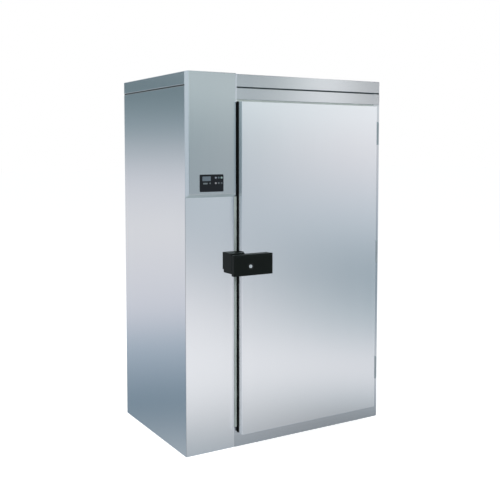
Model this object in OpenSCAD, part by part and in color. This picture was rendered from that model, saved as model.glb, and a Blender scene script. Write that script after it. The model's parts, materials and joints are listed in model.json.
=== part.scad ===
// Roll-in blast chiller: an insulated cabinet put together from sandwich panels,
// with a column for the controls, evaporator and fans on the left and one overlay
// door hinged on the right. Millimetres, +Z up, front towards -Y, and the origin
// on the floor at the centre of the cabinet's footprint.

/* [Cabinet] */
// Width of the cabinet
body_w = 1400; // [1300:10:1600]
// Depth of the cabinet without the door
body_d = 900; // [840:10:1100]
// Height from the floor to the top of the roof panel
body_h = 2200; // [2100:10:2400]
// Thickness of the insulated wall panels
wall_t = 80; // [72:2:88]
// Thickness of the insulated roof panel
roof_t = 80; // [60:5:120]
// Thickness of the insulated floor panel
floor_t = 120; // [100:5:150]
// Height of the shadow groove under the roof panel
groove_h = 7; // [4:1:12]
// Depth of the shadow groove under the roof panel
groove_d = 6; // [3:1:12]

/* [Doorway] */
// Width of the left column
column_w = 317; // [300:1:360]
// Width of the front face to the right of the door frame
jamb_w = 51; // [40:1:90]
// Height of the front face between the door frame and the roof panel
lintel_h = 67; // [40:1:120]
// Width of the door frame profile
frame_w = 58; // [52:1:70]
// Width of the frame that shows beside the door
frame_show = 18; // [12:1:22]
// Height of the frame that shows above the door
frame_top_show = 13; // [8:1:18]
// Thickness of the steel wear plate on the threshold
threshold_t = 3; // [2:0.5:5]
// Depth of the wear plate behind the front panels
threshold_run = 20; // [10:5:60]

/* [Door] */
// Thickness of the steel-clad part of the door
door_t = 35; // [30:1:45]
// Distance from the front plane to the steel-clad part of the door
door_gap = 25; // [20:1:35]
// How far the door laps over the front of the floor panel
door_lap = 32; // [30:1:45]
// Thickness of the door's steel sheet
skin_t = 2; // [1:0.5:3]
// Width of the return edge at the back of the door's steel sheet
skin_return = 12; // [8:1:20]
// Distance from the door's edge to its plastic edge profile
profile_inset = 1; // [0:0.5:6]
// Thickness of the plastic edge profile
profile_t = 13; // [10:1:18]
// Distance from the edge of the plastic profile to the gasket
gasket_inset = 1; // [0:0.5:4]
// Width of the gasket
gasket_w = 20; // [16:1:24]
// How far the insulated plug of the door reaches behind the front plane
plug_depth = 40; // [20:5:50]
// Clearance between the plug and the door frame
plug_gap = 8; // [6:1:12]

/* [Hinges] */
// Height of the lowest hinge's joint line above the door's lower edge
hinge_low = 251; // [150:1:400]
// Distance of the highest hinge's joint line below the door's upper edge
hinge_high = 181; // [120:1:400]
// Distance of the hinge axis beyond the door's edge
hinge_out = 12; // [11.5:0.5:16]
// Distance of the hinge axis in front of the front plane
hinge_y = 48; // [44:1:52]
// Radius of the hinge knuckles
knuckle_r = 11; // [9.5:0.5:11.5]
// Radius of the hinge pins
pin_r = 5.5; // [4:0.5:6.5]
// Length of the lower knuckle, on the frame
knuckle_low_h = 65; // [50:1:80]
// Length of the upper knuckle, on the door
knuckle_up_h = 82; // [60:1:100]
// Width of the hinge leaf on the cabinet
leaf_w = 40; // [34:1:48]
// Thickness of the hinge leaves
leaf_t = 6; // [4:0.5:8]

/* [Latch] */
// Height of the lever's middle above the floor
latch_z = 1103; // [900:1:1300]
// Height of the lever
latch_h = 120; // [90:1:130]
// Width of the keeper on the column
keeper_w = 89; // [70:1:100]
// How far the keeper stands above the lever
keeper_over = 9; // [0:0.5:12]
// How far the lever hangs below the keeper
keeper_short = 11; // [0:0.5:16]
// Distance from the keeper to the door's edge
keeper_gap = 7; // [5:1:12]
// Thickness of the latch case's tab round the door's edge
case_tab = 3; // [2:0.5:4]
// How far that tab stands above the case
tab_up = 15; // [0:1:20]
// Width of the latch case on the door
case_w = 169; // [160:1:200]
// Thickness of the latch case
case_t = 44; // [38:1:52]
// Thickness of the lever
lever_t = 29; // [24:1:34]
// Gap between the lever and the case
lever_gap = 2; // [1:0.5:4]
// Wall thickness of the lever
lever_wall = 4; // [3:0.5:6]
// Radius of the lever's pin
lever_pin_r = 4; // [3:0.5:6]
// Size of the bevel along the lever's upper front edge
lever_bevel = 9; // [4:1:14]
// Radius of the lock cylinder
lock_r = 10; // [7:0.5:14]
// Distance of the lock cylinder from the left end of the lever
lock_x = 110; // [100:1:130]
// Length of the latch bolt
bolt_l = 92; // [88:1:98]
// Height of the latch bolt
bolt_h = 22; // [14:1:30]
// Thickness of the latch bolt
bolt_t = 16; // [10:1:20]
// How far the bolt stands in the keeper
bolt_catch = 20; // [12:1:24]
// How far the bolt draws back
bolt_travel = 24; // [18:1:28]
// Radius of the inside release rod
rod_r = 8; // [6:0.5:10]
// Radius of the inside release knob
knob_r = 30; // [22:1:40]
// Thickness of the inside release knob
knob_t = 12; // [8:1:20]
// How far the inside release is pushed
rod_travel = 20; // [16:1:21]

/* [Controls] */
// Height of the control cover
cover_h = 710; // [600:1:760]
// How far the control cover stands in front of the cabinet
cover_t = 18; // [14:1:26]
// Thickness of the cover's sheet
sheet_t = 2; // [1:0.5:3]
// Depth of the cover's lip on the roof
cover_lip = 30; // [20:1:50]
// Number of screws in the cover's lip
cover_screws_n = 3; // [2:1:6]
// Width of the display
display_w = 152; // [145:1:180]
// Height of the display
display_h = 99; // [92:1:120]
// Distance of the display from the cabinet's left side
display_left = 84; // [72:1:95]
// Height of the display above the cover's lower edge
display_up = 33; // [30:1:50]
// How far the display stands in front of the cover
display_proud = 2.5; // [1.5:0.5:4]
// Border of the display that rests on the cover
display_lip = 4; // [3:0.5:6]
// Width of the display's window
window_w = 53; // [40:1:60]
// Height of the display's window
window_h = 26; // [18:1:32]
// Width of a key
key_w = 11; // [8:0.5:12]
// Height of a key
key_h = 10; // [7:0.5:14]
// Distance between the columns of keys
key_pitch_x = 19; // [17:0.5:22]
// Distance between the rows of keys
key_pitch_z = 31; // [20:0.5:36]
// Distance of the last column of keys from the display's right edge
key_right = 13; // [13:0.5:18]
// Distance of the upper row of keys from the display's upper edge
key_top = 19; // [14:0.5:26]
// How far the keys stand in front of the display
key_proud = 1.3; // [1:0.1:2]
// Depth of the electrical box
box_d = 58; // [50:1:60]

/* [Fans and evaporator] */
// Radius of the fan blades
fan_r = 170; // [140:5:185]
// Distance between the fans
fan_pitch = 560; // [480:5:600]
// Axial depth of the fan wheels
fan_depth = 50; // [40:1:56]
// Number of blades on a fan
blades_n = 5; // [3:1:7]
// Pitch angle of the fan blades
blade_pitch = 24; // [15:1:26]
// Radius of the fan motors
motor_r = 48; // [40:1:60]
// Length of the fan motors
motor_l = 54; // [40:1:64]
// Radius of the motor shafts
shaft_r = 6; // [4:0.5:8]
// Distance of the fan panel behind the edge of the doorway
panel_back = 25; // [20:1:40]
// Gap around the fan panel
panel_gap = 7; // [5:1:12]
// Width of the posts that carry the fan panel
post_w = 45; // [35:1:60]
// Depth of the posts that carry the fan panel
post_d = 30; // [20:1:40]
// Height of the coil's lower edge above the floor panel
coil_up = 95; // [80:1:140]
// Distance of the coil's upper edge below the roof panel
coil_down = 160; // [140:1:240]
// Distance of the coil from the front and back walls
coil_side = 90; // [84:1:120]
// Distance between the fins
fin_pitch = 20; // [10:1:30]
// Outer radius of the coil's tubes
tube_r = 8; // [5:0.5:10]
// Outer radius of the suction pipe
suction_r = 11; // [9:0.5:14]
// Outer radius of the liquid pipe
liquid_r = 6; // [4:0.5:8]
// Height of the pipe ends above the roof
pipe_rise = 40; // [30:5:70]
// Depth of the drip tray
tray_h = 35; // [20:1:40]
// Outer radius of the drain pipe
drain_r = 12; // [8:0.5:16]
// Length of the drain pipe behind the cabinet
drain_run = 30; // [20:5:80]

/* [Fittings] */
// Thickness of the bumper rails
rail_t = 24; // [15:1:30]
// Height of the bumper rails
rail_h = 100; // [60:5:150]
// Height of the lower rail's middle above the floor panel
rail_low = 200; // [150:5:300]
// Distance between the rails
rail_pitch = 600; // [400:10:800]
// Width of the interior light
light_w = 320; // [240:5:400]
// Radius of the pressure vent
vent_r = 40; // [36:1:50]

/* [Hidden] */
$fn = 64;
cut = 1;            // how far a cut runs past a face
fit = 0.3;          // clearance between pieces that move past or lie on each other
running = 0.05;     // radial clearance of a running fit

steel = "#bcc3c8";
steel_dark = "#9aa2a7";
galvanised = "#a7adb0";
frame_grey = "#7a8480";
black = "#1b2120";
rubber_black = "#0c0d0e";
foam = "#e0d8b0";
white_plastic = "#e8e8e4";
copper = "#b46a3c";
aluminium = "#c9ccce";

hw = body_w / 2;
hd = body_d / 2;
wall_z1 = body_h - roof_t;
in_x0 = -hw + wall_t;
in_x1 = hw - wall_t;
in_y0 = -hd + wall_t;
in_y1 = hd - wall_t;

frame_x0 = -hw + column_w;
frame_x1 = hw - jamb_w;
frame_z1 = wall_z1 - lintel_h;
open_x0 = frame_x0 + frame_w;
open_x1 = frame_x1 - frame_w;
open_z1 = frame_z1 - frame_w;

door_x0 = frame_x0 + frame_show;
door_x1 = frame_x1 - frame_show;
door_z0 = floor_t - door_lap;
door_z1 = frame_z1 - frame_top_show;
door_y1 = -hd - door_gap;
door_y0 = door_y1 - door_t;
plug_x0 = open_x0 + plug_gap;
plug_x1 = open_x1 - plug_gap;
plug_z0 = floor_t + threshold_t + plug_gap;
plug_z1 = open_z1 - plug_gap;
plug_y1 = -hd + plug_depth;
gasket_in = profile_inset + gasket_inset;  // from the door's edge to the gasket

hinge_x = door_x1 + hinge_out;
hinge_zs = [door_z0 + hinge_low,
            (door_z0 + hinge_low + door_z1 - hinge_high) / 2,
            door_z1 - hinge_high];

// Latch: the keeper stands on the column, the case and the lever on the door
latch_z0 = latch_z - latch_h / 2;
latch_z1 = latch_z + latch_h / 2;
keeper_x1 = door_x0 - keeper_gap;
keeper_x0 = keeper_x1 - keeper_w;
case_x1 = door_x0 + case_w;
case_x0 = door_x0 - case_tab;
case_y = door_y0 - case_t;
lever_y1 = case_y - lever_gap;
lever_y0 = lever_y1 - lever_t;
lever_end_r = lever_t / 2;
pivot_x = case_x1 - lever_end_r;
pivot_y = lever_y1 - lever_end_r;
lock_z = latch_z - 7;
keeper_z0 = latch_z0 + keeper_short;
keeper_z1 = latch_z1 + keeper_over;
boss_r = 9;
boss_h = 44;
notch_w = 14;                            // notch in the keeper's lower back corner
notch_d = 12;
notch_h = 17;
rod_x = pivot_x - 44;
rod_tip_y = lever_y0 + lever_wall + 1.5;
bolt_x0 = keeper_x1 - bolt_catch;
bolt_y = case_y + case_t / 2;

// Controls
cover_x0 = -hw;
cover_x1 = door_x0;
cover_z0 = body_h - cover_h;
cover_y = -hd - cover_t;
display_x0 = -hw + display_left;
display_z0 = cover_z0 + display_up;
display_y0 = cover_y - display_proud;
face_t = 4;                              // thickness of the display's front wall
case_wall = 1.5;
display_depth = cover_t - 2;
box_x0 = in_x0 + 8;
box_x1 = frame_x0 - 19;
box_z0 = cover_z0 + 25;
box_z1 = wall_z1 - 40;
box_y1 = -hd + box_d + sheet_t;
window_x0 = display_x0 + 16;
window_z0 = display_z0 + display_h - 11 - window_h;
window_t = 1;
key_x0 = display_x0 + display_w - key_right - 2 * key_pitch_x;
key_z0 = display_z0 + display_h - key_top - key_pitch_z;
key_flange = 1;
screw_y = -hd + cover_lip / 2;
screw_r = 2.5;
function screw_x(i) =
    cover_x0 + 2 * cover_t + (cover_x1 - cover_x0 - 4 * cover_t) * i / (cover_screws_n - 1);
board_x0 = box_x0 + 20;
board_x1 = box_x1 - 20;
board_z0 = display_z0 + display_h + 20;
board_z1 = board_z0 + 150;
board_y0 = box_y1 - sheet_t - 14;
board_t = 1.6;
board_inset = 8;                         // from the board's edge to its posts
relay_pitch = 34;
relay_w = 24;
relay_h = 26;
relay_d = 16;
relay_down = 40;                         // from the board's upper edge to the relays
gear_z = board_z1 + 110;
gear_rail_d = 8;
gear_rail_h = 36;
contactor_pitch = 40;
contactor_w = 36;
contactor_d = 38;
contactor_h = 72;
terminal_w = 6.6;
terminal_pitch = 7;
terminal_d = 28;
terminal_h = 48;

// Fans and evaporator, from the chamber towards the left wall
panel_x1 = open_x0 - panel_back;
panel_x0 = panel_x1 - sheet_t;
post_y = in_y1 - post_w;                 // inner edges of the posts are at +-post_y
panel_y = post_y - panel_gap;
panel_z0 = floor_t + 70;
panel_z1 = wall_z1 - 120;
pivot_out = 7;
panel_pin_x = panel_x1 + pivot_out;
panel_pin_y = post_y;
panel_pin_r = 3;
panel_knuckle_r = 6;
panel_knuckle_h = 40;
panel_hinge_zs = [panel_z0 + 150, panel_z1 - 150];
fan_x = panel_x0 - 8 - fan_depth / 2;
fan_zs = [for (i = [-1:1]) (panel_z0 + panel_z1) / 2 + i * fan_pitch];
hub_r = 45;
shroud_r = fan_r + 8;
shroud_t = 3;
arm_x1 = fan_x - fan_depth / 2 - 3;      // front face of the arms that hold the motor
arm_t = 5;
guard_t = 4;
guard_rings = 6;
guard_r = shroud_r + 6;
motor_x1 = arm_x1 + 1;
motor_x0 = motor_x1 - motor_l;
coil_x0 = in_x0 + 20;
coil_x1 = motor_x0 - 13;
coil_y = in_y1 - coil_side;              // the coil lies between +-coil_y
coil_z0 = floor_t + coil_up;
coil_z1 = wall_z1 - coil_down;
coil_plate = 3;
fin_t = 1.5;
fins_n = floor((2 * coil_y - fin_pitch) / fin_pitch);
bend_r = 22;                             // a return bend joins two tubes this far apart, twice over
bend_pitch = 4 * bend_r;
bends_n = floor((coil_z1 - coil_z0 - 2 * bend_r) / bend_pitch);
tube_x = coil_x0 + (coil_x1 - coil_x0) / 3;
pipe_x = coil_x0 + (coil_x1 - coil_x0) * 3 / 4;
suction_y = coil_y + coil_plate + 24;
liquid_y = suction_y - 50;
header_z0 = coil_z0 + 200;               // lower end of the suction pipe
stubs_n = 4;                             // tubes that join the coil to the suction pipe
stub_up = 60;                            // from the pipe's lower end to the first of them
stub_down = 140;                         // from the coil's upper edge to the last of them
stub_pitch = (coil_z1 - stub_down - header_z0 - stub_up) / (stubs_n - 1);
valve_z0 = coil_z1 + 40;
valve_h = 46;
valve_r = 14;
valve_arm = 34;                          // from the valve's axis to its diaphragm
diaphragm_r = 22;
diaphragm_t = 12;
tray_z0 = floor_t + 45;
tray_x1 = motor_x0 + 40;
tray_outlet = 8;                         // length of the outlet under the tray
tray_foot_t = 8;
tray_foot_front = 40;                    // from the end plates of the coil to the tray's feet
tray_foot_back = 90;
pipe_wall = 3;
collar_out = 6;                          // how far the collars reach beyond the pipes
collar_t = 6;
drain_x = (coil_x0 + coil_x1) / 2;
drain_y = coil_y - 60;
drain_z = floor_t + drain_r + 10;
gland_x = -hw + 140;
gland_y = hd - 140;
gland_r = 10;
gland_bore_r = 7;
gland_nut_r = 17;
gland_nut_h = 8;
gland_cap_r = 14;
gland_cap_h = 18;
gland_run = 20;                          // how far the gland's stem reaches below the roof panel

// Fittings
vent_inset = 170;                        // from the right wall to its axis
vent_down = 220;                         // from the roof panel to its axis
vent_x = in_x1 - vent_inset;
vent_z = wall_z1 - vent_down;
vent_flange = 15;                        // how far its inner flange reaches beyond the tube
vent_hood = 20;                          // how far its outer hood does
vent_flange_t = 10;
vent_hood_t = 12;
louvre_pitch = 12;
louvre_h = 6;
light_y0 = in_y0 + 40;
light_d = 70;
light_base_h = 22;
light_lens_h = 16;
light_rim = 7;                           // base that shows around the lens
light_x0 = (open_x0 + open_x1 - light_w) / 2;
sensor_x = open_x1 - 110;
sensor_l = 60;
sensor_d = 14;
sensor_h = 12;
panel_lock_z = (panel_z0 + panel_z1) / 2 - fan_pitch / 2;
panel_lock_y = -panel_y + 13;
tongue_l = 26;
tongue_w = 12;
tongue_t = 4;
tongue_x1 = panel_x0 - 6;
panel_lock_r = 5;

// A block between its low and high values along each axis
module block(x, y, z)
    translate([x[0], y[0], z[0]]) cube([x[1] - x[0], y[1] - y[0], z[1] - z[0]]);

// Round bars along each axis
module bar_x(x, y, z, r)
    translate([x[0], y, z]) rotate([0, 90, 0]) cylinder(r = r, h = x[1] - x[0]);
module bar_y(x, y, z, r)
    translate([x, y[0], z]) rotate([-90, 0, 0]) cylinder(r = r, h = y[1] - y[0]);
module bar_z(x, y, z, r)
    translate([x, y, z[0]]) cylinder(r = r, h = z[1] - z[0]);

// An outline given as [y, z] points, run along X
module run_x(x, outline)
    translate([x[0], 0, 0]) rotate([90, 0, 90]) linear_extrude(x[1] - x[0]) polygon(outline);

// ---- Insulated panels ----

module floor_panel()
    color(steel_dark) {
        block([in_x0, in_x1], [in_y0, in_y1], [0, floor_t]);
        block([frame_x0, frame_x1], [-hd, in_y0], [0, floor_t]);
    }

// The side panel meets the column's front panel and the back panel in mitres
module left_side_panel()
    color(steel) linear_extrude(wall_z1)
        polygon([[-hw, -hd], [in_x0, in_y0], [in_x0, in_y1], [-hw, hd]]);

module right_side_panel()
    color(steel) linear_extrude(wall_z1)
        polygon([[hw, in_y0], [in_x1, in_y0], [in_x1, in_y1], [hw, hd]]);

module back_panel()
    color(steel) difference() {
        linear_extrude(wall_z1)
            polygon([[-hw, hd], [in_x0, in_y1], [in_x1, in_y1], [hw, hd]]);
        bar_y(drain_x, [in_y1 - cut, hd + cut], drain_z, drain_r + fit);
        bar_y(vent_x, [in_y1 - cut, hd + cut], vent_z, vent_r + fit);
    }

module roof_panel()
    color(steel) difference() {
        union() {
            block([-hw, hw], [-hd, hd], [wall_z1 + groove_h, body_h]);
            block([-hw + groove_d, hw - groove_d], [-hd + groove_d, hd - groove_d],
                  [wall_z1, wall_z1 + groove_h]);
        }
        bar_z(pipe_x, suction_y, [wall_z1 - cut, body_h + cut], suction_r + fit);
        bar_z(pipe_x, liquid_y, [wall_z1 - cut, body_h + cut], liquid_r + fit);
        bar_z(gland_x, gland_y, [wall_z1 - cut, body_h + cut], gland_r + fit);
        for (i = [0 : cover_screws_n - 1])
            bar_z(screw_x(i), screw_y, [body_h - 20, body_h + cut], screw_r);
    }

// The column's front is recessed for the electrical box and thicker behind it
module column_front_panel()
    color(steel) difference() {
        union() {
            linear_extrude(wall_z1)
                polygon([[-hw, -hd], [frame_x0, -hd], [frame_x0, in_y0], [in_x0, in_y0]]);
            block([in_x0, frame_x0], [in_y0, in_y0 + 50], [box_z0 - 20, wall_z1]);
        }
        block([box_x0, box_x1], [-hd - cut, box_y1], [box_z0, box_z1]);
    }

module right_jamb()
    color(steel) block([frame_x1, hw], [-hd, in_y0], [0, wall_z1]);

module front_lintel()
    color(steel) block([frame_x0, frame_x1], [-hd, in_y0], [frame_z1, wall_z1]);

// ---- Doorway ----

module door_frame()
    color(frame_grey) difference() {
        block([frame_x0, frame_x1], [-hd, in_y0], [floor_t, frame_z1]);
        block([open_x0, open_x1], [-hd - cut, in_y0 + cut], [floor_t - cut, open_z1]);
    }

module threshold_plate()
    color(steel_dark)
        block([open_x0, open_x1], [-hd, in_y0 + threshold_run], [floor_t, floor_t + threshold_t]);

// ---- Controls ----

// The cover's shape, bevelled left, right and below, shrunk by the sheet's thickness s
module cover_form(s) {
    k = s * sqrt(2);
    t = cover_t - s;
    y1 = -hd + cut;
    intersection() {
        translate([0, 0, cover_z0]) linear_extrude(cover_h)
            polygon([[cover_x0 + k, -hd], [cover_x0 + k, y1], [cover_x1 - k, y1],
                     [cover_x1 - k, -hd], [cover_x1 - k - t, -hd - t], [cover_x0 + k + t, -hd - t]]);
        run_x([cover_x0, cover_x1],
              [[-hd, cover_z0 + k], [y1, cover_z0 + k], [y1, body_h + cut],
               [-hd - t, body_h + cut], [-hd - t, cover_z0 + k + t]]);
    }
}

module control_cover()
    color(steel) {
        difference() {
            cover_form(0);
            cover_form(sheet_t);
            block([-hw - cut, hw], [-hd, hd], [0, body_h]);
            block([display_x0 + display_lip - fit, display_x0 + display_w - display_lip + fit],
                  [cover_y - cut, cover_y + sheet_t + cut],
                  [display_z0 + display_lip - fit, display_z0 + display_h - display_lip + fit]);
        }
        difference() {
            block([cover_x0 + cover_t, cover_x1 - cover_t], [cover_y, -hd + cover_lip],
                  [body_h, body_h + sheet_t]);
            for (i = [0 : cover_screws_n - 1])
                bar_z(screw_x(i), screw_y, [body_h - cut, body_h + sheet_t + cut], screw_r + fit);
        }
    }

module cover_screws()
    color(steel_dark) for (i = [0 : cover_screws_n - 1]) {
        bar_z(screw_x(i), screw_y, [body_h - 16, body_h + sheet_t], screw_r - running);
        bar_z(screw_x(i), screw_y, [body_h + sheet_t, body_h + sheet_t + 2.5], 2 * screw_r);
    }

module electrical_box()
    color(galvanised) difference() {
        block([box_x0 + fit, box_x1 - fit], [-hd, box_y1], [box_z0 + fit, box_z1 - fit]);
        block([box_x0 + fit + sheet_t, box_x1 - fit - sheet_t], [-hd - cut, box_y1 - sheet_t],
              [box_z0 + fit + sheet_t, box_z1 - fit - sheet_t]);
    }

// The board stands on four posts on the back of the box, above the display
module control_board()
    color("#2f6b46") {
        block([board_x0, board_x1], [board_y0, board_y0 + board_t], [board_z0, board_z1]);
        for (x = [board_x0 + board_inset, board_x1 - board_inset])
            for (z = [board_z0 + board_inset, board_z1 - board_inset])
                bar_y(x, [board_y0 + board_t, box_y1 - sheet_t], z, 3);
        // relays, a row of sockets and the processor
        for (i = [0:3])
            translate([board_x0 + 14 + i * relay_pitch, board_y0 - relay_d, board_z1 - relay_down])
                cube([relay_w, relay_d, relay_h]);
        block([board_x0 + 14, board_x1 - 14], [board_y0 - 12, board_y0],
              [board_z0 + 14, board_z0 + 26]);
        block([board_x0 + 60, board_x0 + 86], [board_y0 - 4, board_y0],
              [board_z0 + 56, board_z0 + 82]);
    }

// Contactors and terminals side by side on a rail
module control_gear()
    color("#c9cbc8") {
        gear_y = box_y1 - sheet_t - gear_rail_d;
        block([box_x0 + 12, box_x1 - 12], [gear_y, box_y1 - sheet_t],
              [gear_z - gear_rail_h / 2, gear_z + gear_rail_h / 2]);
        for (i = [0:2])
            translate([box_x0 + 18 + i * contactor_pitch, gear_y - contactor_d,
                       gear_z - contactor_h / 2])
                cube([contactor_w, contactor_d, contactor_h]);
        for (i = [0:5])
            translate([box_x0 + 140 + i * terminal_pitch, gear_y - terminal_d,
                       gear_z - terminal_h / 2])
                cube([terminal_w, terminal_d, terminal_h]);
    }

module key_places()
    for (row = [0, 1], col = [0, 1, 2])
        translate([key_x0 + col * key_pitch_x, 0, key_z0 + row * key_pitch_z]) children();

module display_case()
    color(black) difference() {
        union() {
            block([display_x0, display_x0 + display_w], [display_y0, cover_y],
                  [display_z0, display_z0 + display_h]);
            block([display_x0 + display_lip, display_x0 + display_w - display_lip],
                  [cover_y, cover_y + display_depth],
                  [display_z0 + display_lip, display_z0 + display_h - display_lip]);
        }
        block([display_x0 + display_lip + case_wall, display_x0 + display_w - display_lip - case_wall],
              [display_y0 + face_t, cover_y + display_depth - case_wall],
              [display_z0 + display_lip + case_wall, display_z0 + display_h - display_lip - case_wall]);
        block([window_x0 - fit / 2, window_x0 + window_w + fit / 2],
              [display_y0 - cut, display_y0 + window_t],
              [window_z0 - fit / 2, window_z0 + window_h + fit / 2]);
        key_places() block([-key_w / 2 - fit, key_w / 2 + fit],
                           [display_y0 - cut, display_y0 + face_t + cut],
                           [-key_h / 2 - fit, key_h / 2 + fit]);
    }

module display_window()
    color("#5a666b") block([window_x0, window_x0 + window_w],
                           [display_y0 + 0.2, display_y0 + window_t],
                           [window_z0, window_z0 + window_h]);

// A key is a cap with a flange behind the display's face, numbered along the rows
module key_cap(n)
    color("#c8ced2") translate([key_x0 + (n % 3) * key_pitch_x, 0,
                                key_z0 + floor(n / 3) * key_pitch_z]) {
        block([-key_w / 2, key_w / 2], [display_y0 - key_proud, display_y0 + face_t + fit],
              [-key_h / 2, key_h / 2]);
        block([-key_w / 2 - key_flange, key_w / 2 + key_flange],
              [display_y0 + face_t + fit, display_y0 + face_t + fit + 1.5],
              [-key_h / 2 - key_flange, key_h / 2 + key_flange]);
    }

// ---- Evaporator ----

// The end plates of the casing stand on the floor panel and carry the coil
module coil_casing()
    color(galvanised) difference() {
        union() {
            for (y = [-coil_y - coil_plate, coil_y])
                block([coil_x0, coil_x1], [y, y + coil_plate], [floor_t, coil_z1]);
            for (z = [coil_z0, coil_z1 - coil_plate])
                block([coil_x0, coil_x1], [-coil_y, coil_y], [z, z + coil_plate]);
        }
        bar_y(drain_x, [coil_y - cut, coil_y + coil_plate + cut], drain_z, drain_r + fit);
    }

module coil_fins()
    color(aluminium) for (i = [0 : fins_n - 1])
        translate([0, (i - (fins_n - 1) / 2) * fin_pitch - fin_t / 2, 0])
            block([coil_x0 + 4, coil_x1 - 4], [0, fin_t],
                  [coil_z0 + coil_plate, coil_z1 - coil_plate]);

// Return bends outside both end plates
module coil_tubes()
    color(copper) for (side = [-1, 1], i = [0 : bends_n - (side > 0 ? 2 : 1)])
        translate([tube_x, side * (coil_y + coil_plate),
                   coil_z0 + 2 * bend_r + i * bend_pitch + (side + 1) * bend_r])
            rotate([0, -90, 0]) rotate([0, 0, side > 0 ? 0 : 180])
                rotate_extrude(angle = 180, $fn = 48) translate([bend_r, 0]) circle(r = tube_r, $fn = 24);

module refrigerant_lines()
    color(copper) {
        // suction pipe, from its stubs in the coil up through the roof
        bar_z(pipe_x, suction_y, [header_z0, body_h + pipe_rise], suction_r);
        bar_z(pipe_x, suction_y, [body_h, body_h + collar_t], suction_r + collar_out);
        for (i = [0 : stubs_n - 1])
            bar_y(pipe_x, [coil_y + coil_plate, suction_y], header_z0 + stub_up + i * stub_pitch,
                  tube_r);
        // liquid pipe, from above the roof down to the valve
        bar_z(pipe_x, liquid_y, [valve_z0 + valve_h, body_h + pipe_rise], liquid_r);
        bar_z(pipe_x, liquid_y, [body_h, body_h + collar_t], liquid_r + collar_out);
        // feed from the valve into the coil's casing
        bar_z(pipe_x, liquid_y, [coil_z1, valve_z0], liquid_r);
    }

module expansion_valve()
    color("#b9a05a") {
        bar_z(pipe_x, liquid_y, [valve_z0, valve_z0 + valve_h], valve_r);
        bar_x([pipe_x - valve_arm, pipe_x], liquid_y, valve_z0 + valve_h / 2, valve_r - 5);
        bar_x([pipe_x - valve_arm - diaphragm_t, pipe_x - valve_arm], liquid_y,
              valve_z0 + valve_h / 2, diaphragm_r);
    }

module drip_tray()
    color(steel_dark) difference() {
        union() {
            block([coil_x0, tray_x1], [-coil_y + 4, coil_y - 4], [tray_z0, tray_z0 + tray_h]);
            for (y = [-coil_y + tray_foot_front, coil_y - tray_foot_back])
                block([coil_x0, tray_x1], [y, y + tray_foot_t], [floor_t, tray_z0]);
            bar_z(drain_x, drain_y, [tray_z0 - tray_outlet, tray_z0], drain_r);
        }
        block([coil_x0 + sheet_t, tray_x1 - sheet_t], [-coil_y + 4 + sheet_t, coil_y - 4 - sheet_t],
              [tray_z0 + sheet_t, tray_z0 + tray_h + cut]);
        bar_z(drain_x, drain_y, [tray_z0 - tray_outlet - cut, tray_z0 + sheet_t + cut],
              drain_r - pipe_wall);
    }

module drain_pipe()
    color(white_plastic) difference() {
        union() {
            bar_z(drain_x, drain_y, [drain_z, tray_z0 - tray_outlet], drain_r);
            translate([drain_x, drain_y, drain_z]) sphere(r = drain_r);
            bar_y(drain_x, [drain_y, hd + drain_run], drain_z, drain_r);
            bar_y(drain_x, [hd, hd + collar_t], drain_z, drain_r + collar_out);
        }
        bar_z(drain_x, drain_y, [drain_z, tray_z0 - tray_outlet + cut], drain_r - pipe_wall);
        translate([drain_x, drain_y, drain_z]) sphere(r = drain_r - pipe_wall);
        bar_y(drain_x, [drain_y, hd + drain_run + cut], drain_z, drain_r - pipe_wall);
    }

module cable_gland()
    color(black) difference() {
        union() {
            bar_z(gland_x, gland_y, [wall_z1 - gland_run, body_h + gland_nut_h], gland_r);
            translate([gland_x, gland_y, body_h]) cylinder(r = gland_nut_r, h = gland_nut_h, $fn = 6);
            bar_z(gland_x, gland_y, [body_h + gland_nut_h, body_h + gland_nut_h + gland_cap_h],
                  gland_cap_r);
        }
        bar_z(gland_x, gland_y,
              [wall_z1 - gland_run - cut, body_h + gland_nut_h + gland_cap_h + cut], gland_bore_r);
    }

// ---- Fan panel ----

module panel_posts()
    color(steel_dark) difference() {
        union() {
            for (side = [-1, 1])
                block([panel_x1 - post_d, panel_x1],
                      side < 0 ? [in_y0, -post_y] : [post_y, in_y1], [floor_t, wall_z1]);
            for (z = panel_hinge_zs) {
                bar_z(panel_pin_x, panel_pin_y, [z - panel_knuckle_h, z], panel_knuckle_r);
                block([panel_x1, panel_pin_x], [post_y, post_y + 25], [z - panel_knuckle_h, z]);
                bar_z(panel_pin_x, panel_pin_y, [z, z + panel_knuckle_h - 4], panel_pin_r);
            }
        }
        // slot that the panel lock's tongue turns into
        block([tongue_x1 - tongue_t - 2, tongue_x1 + 2], [-post_y - 10, -post_y + cut],
              [panel_lock_z - tongue_l - 4, panel_lock_z + tongue_w / 2 + 3]);
    }

module fan_panel()
    color(steel) difference() {
        union() {
            block([panel_x0, panel_x1], [-panel_y, panel_y], [panel_z0, panel_z1]);
            for (z = [panel_z0, panel_z1 - sheet_t])
                block([panel_x0 - 15, panel_x0], [-panel_y, panel_y - 20], [z, z + sheet_t]);
            for (z = panel_hinge_zs) {
                bar_z(panel_pin_x, panel_pin_y, [z + fit, z + panel_knuckle_h], panel_knuckle_r);
                block([panel_x1, panel_pin_x - 3], [panel_y - 24, panel_pin_y],
                      [z + fit, z + panel_knuckle_h]);
            }
        }
        for (z = fan_zs) bar_x([panel_x0 - cut, panel_x1 + cut], 0, z, shroud_r);
        for (z = panel_hinge_zs)
            bar_z(panel_pin_x, panel_pin_y, [z - cut, z + panel_knuckle_h - 3], panel_pin_r + running);
        bar_x([panel_x0 - cut, panel_x1 + cut], panel_lock_y, panel_lock_z, panel_lock_r + fit);
    }

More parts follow.
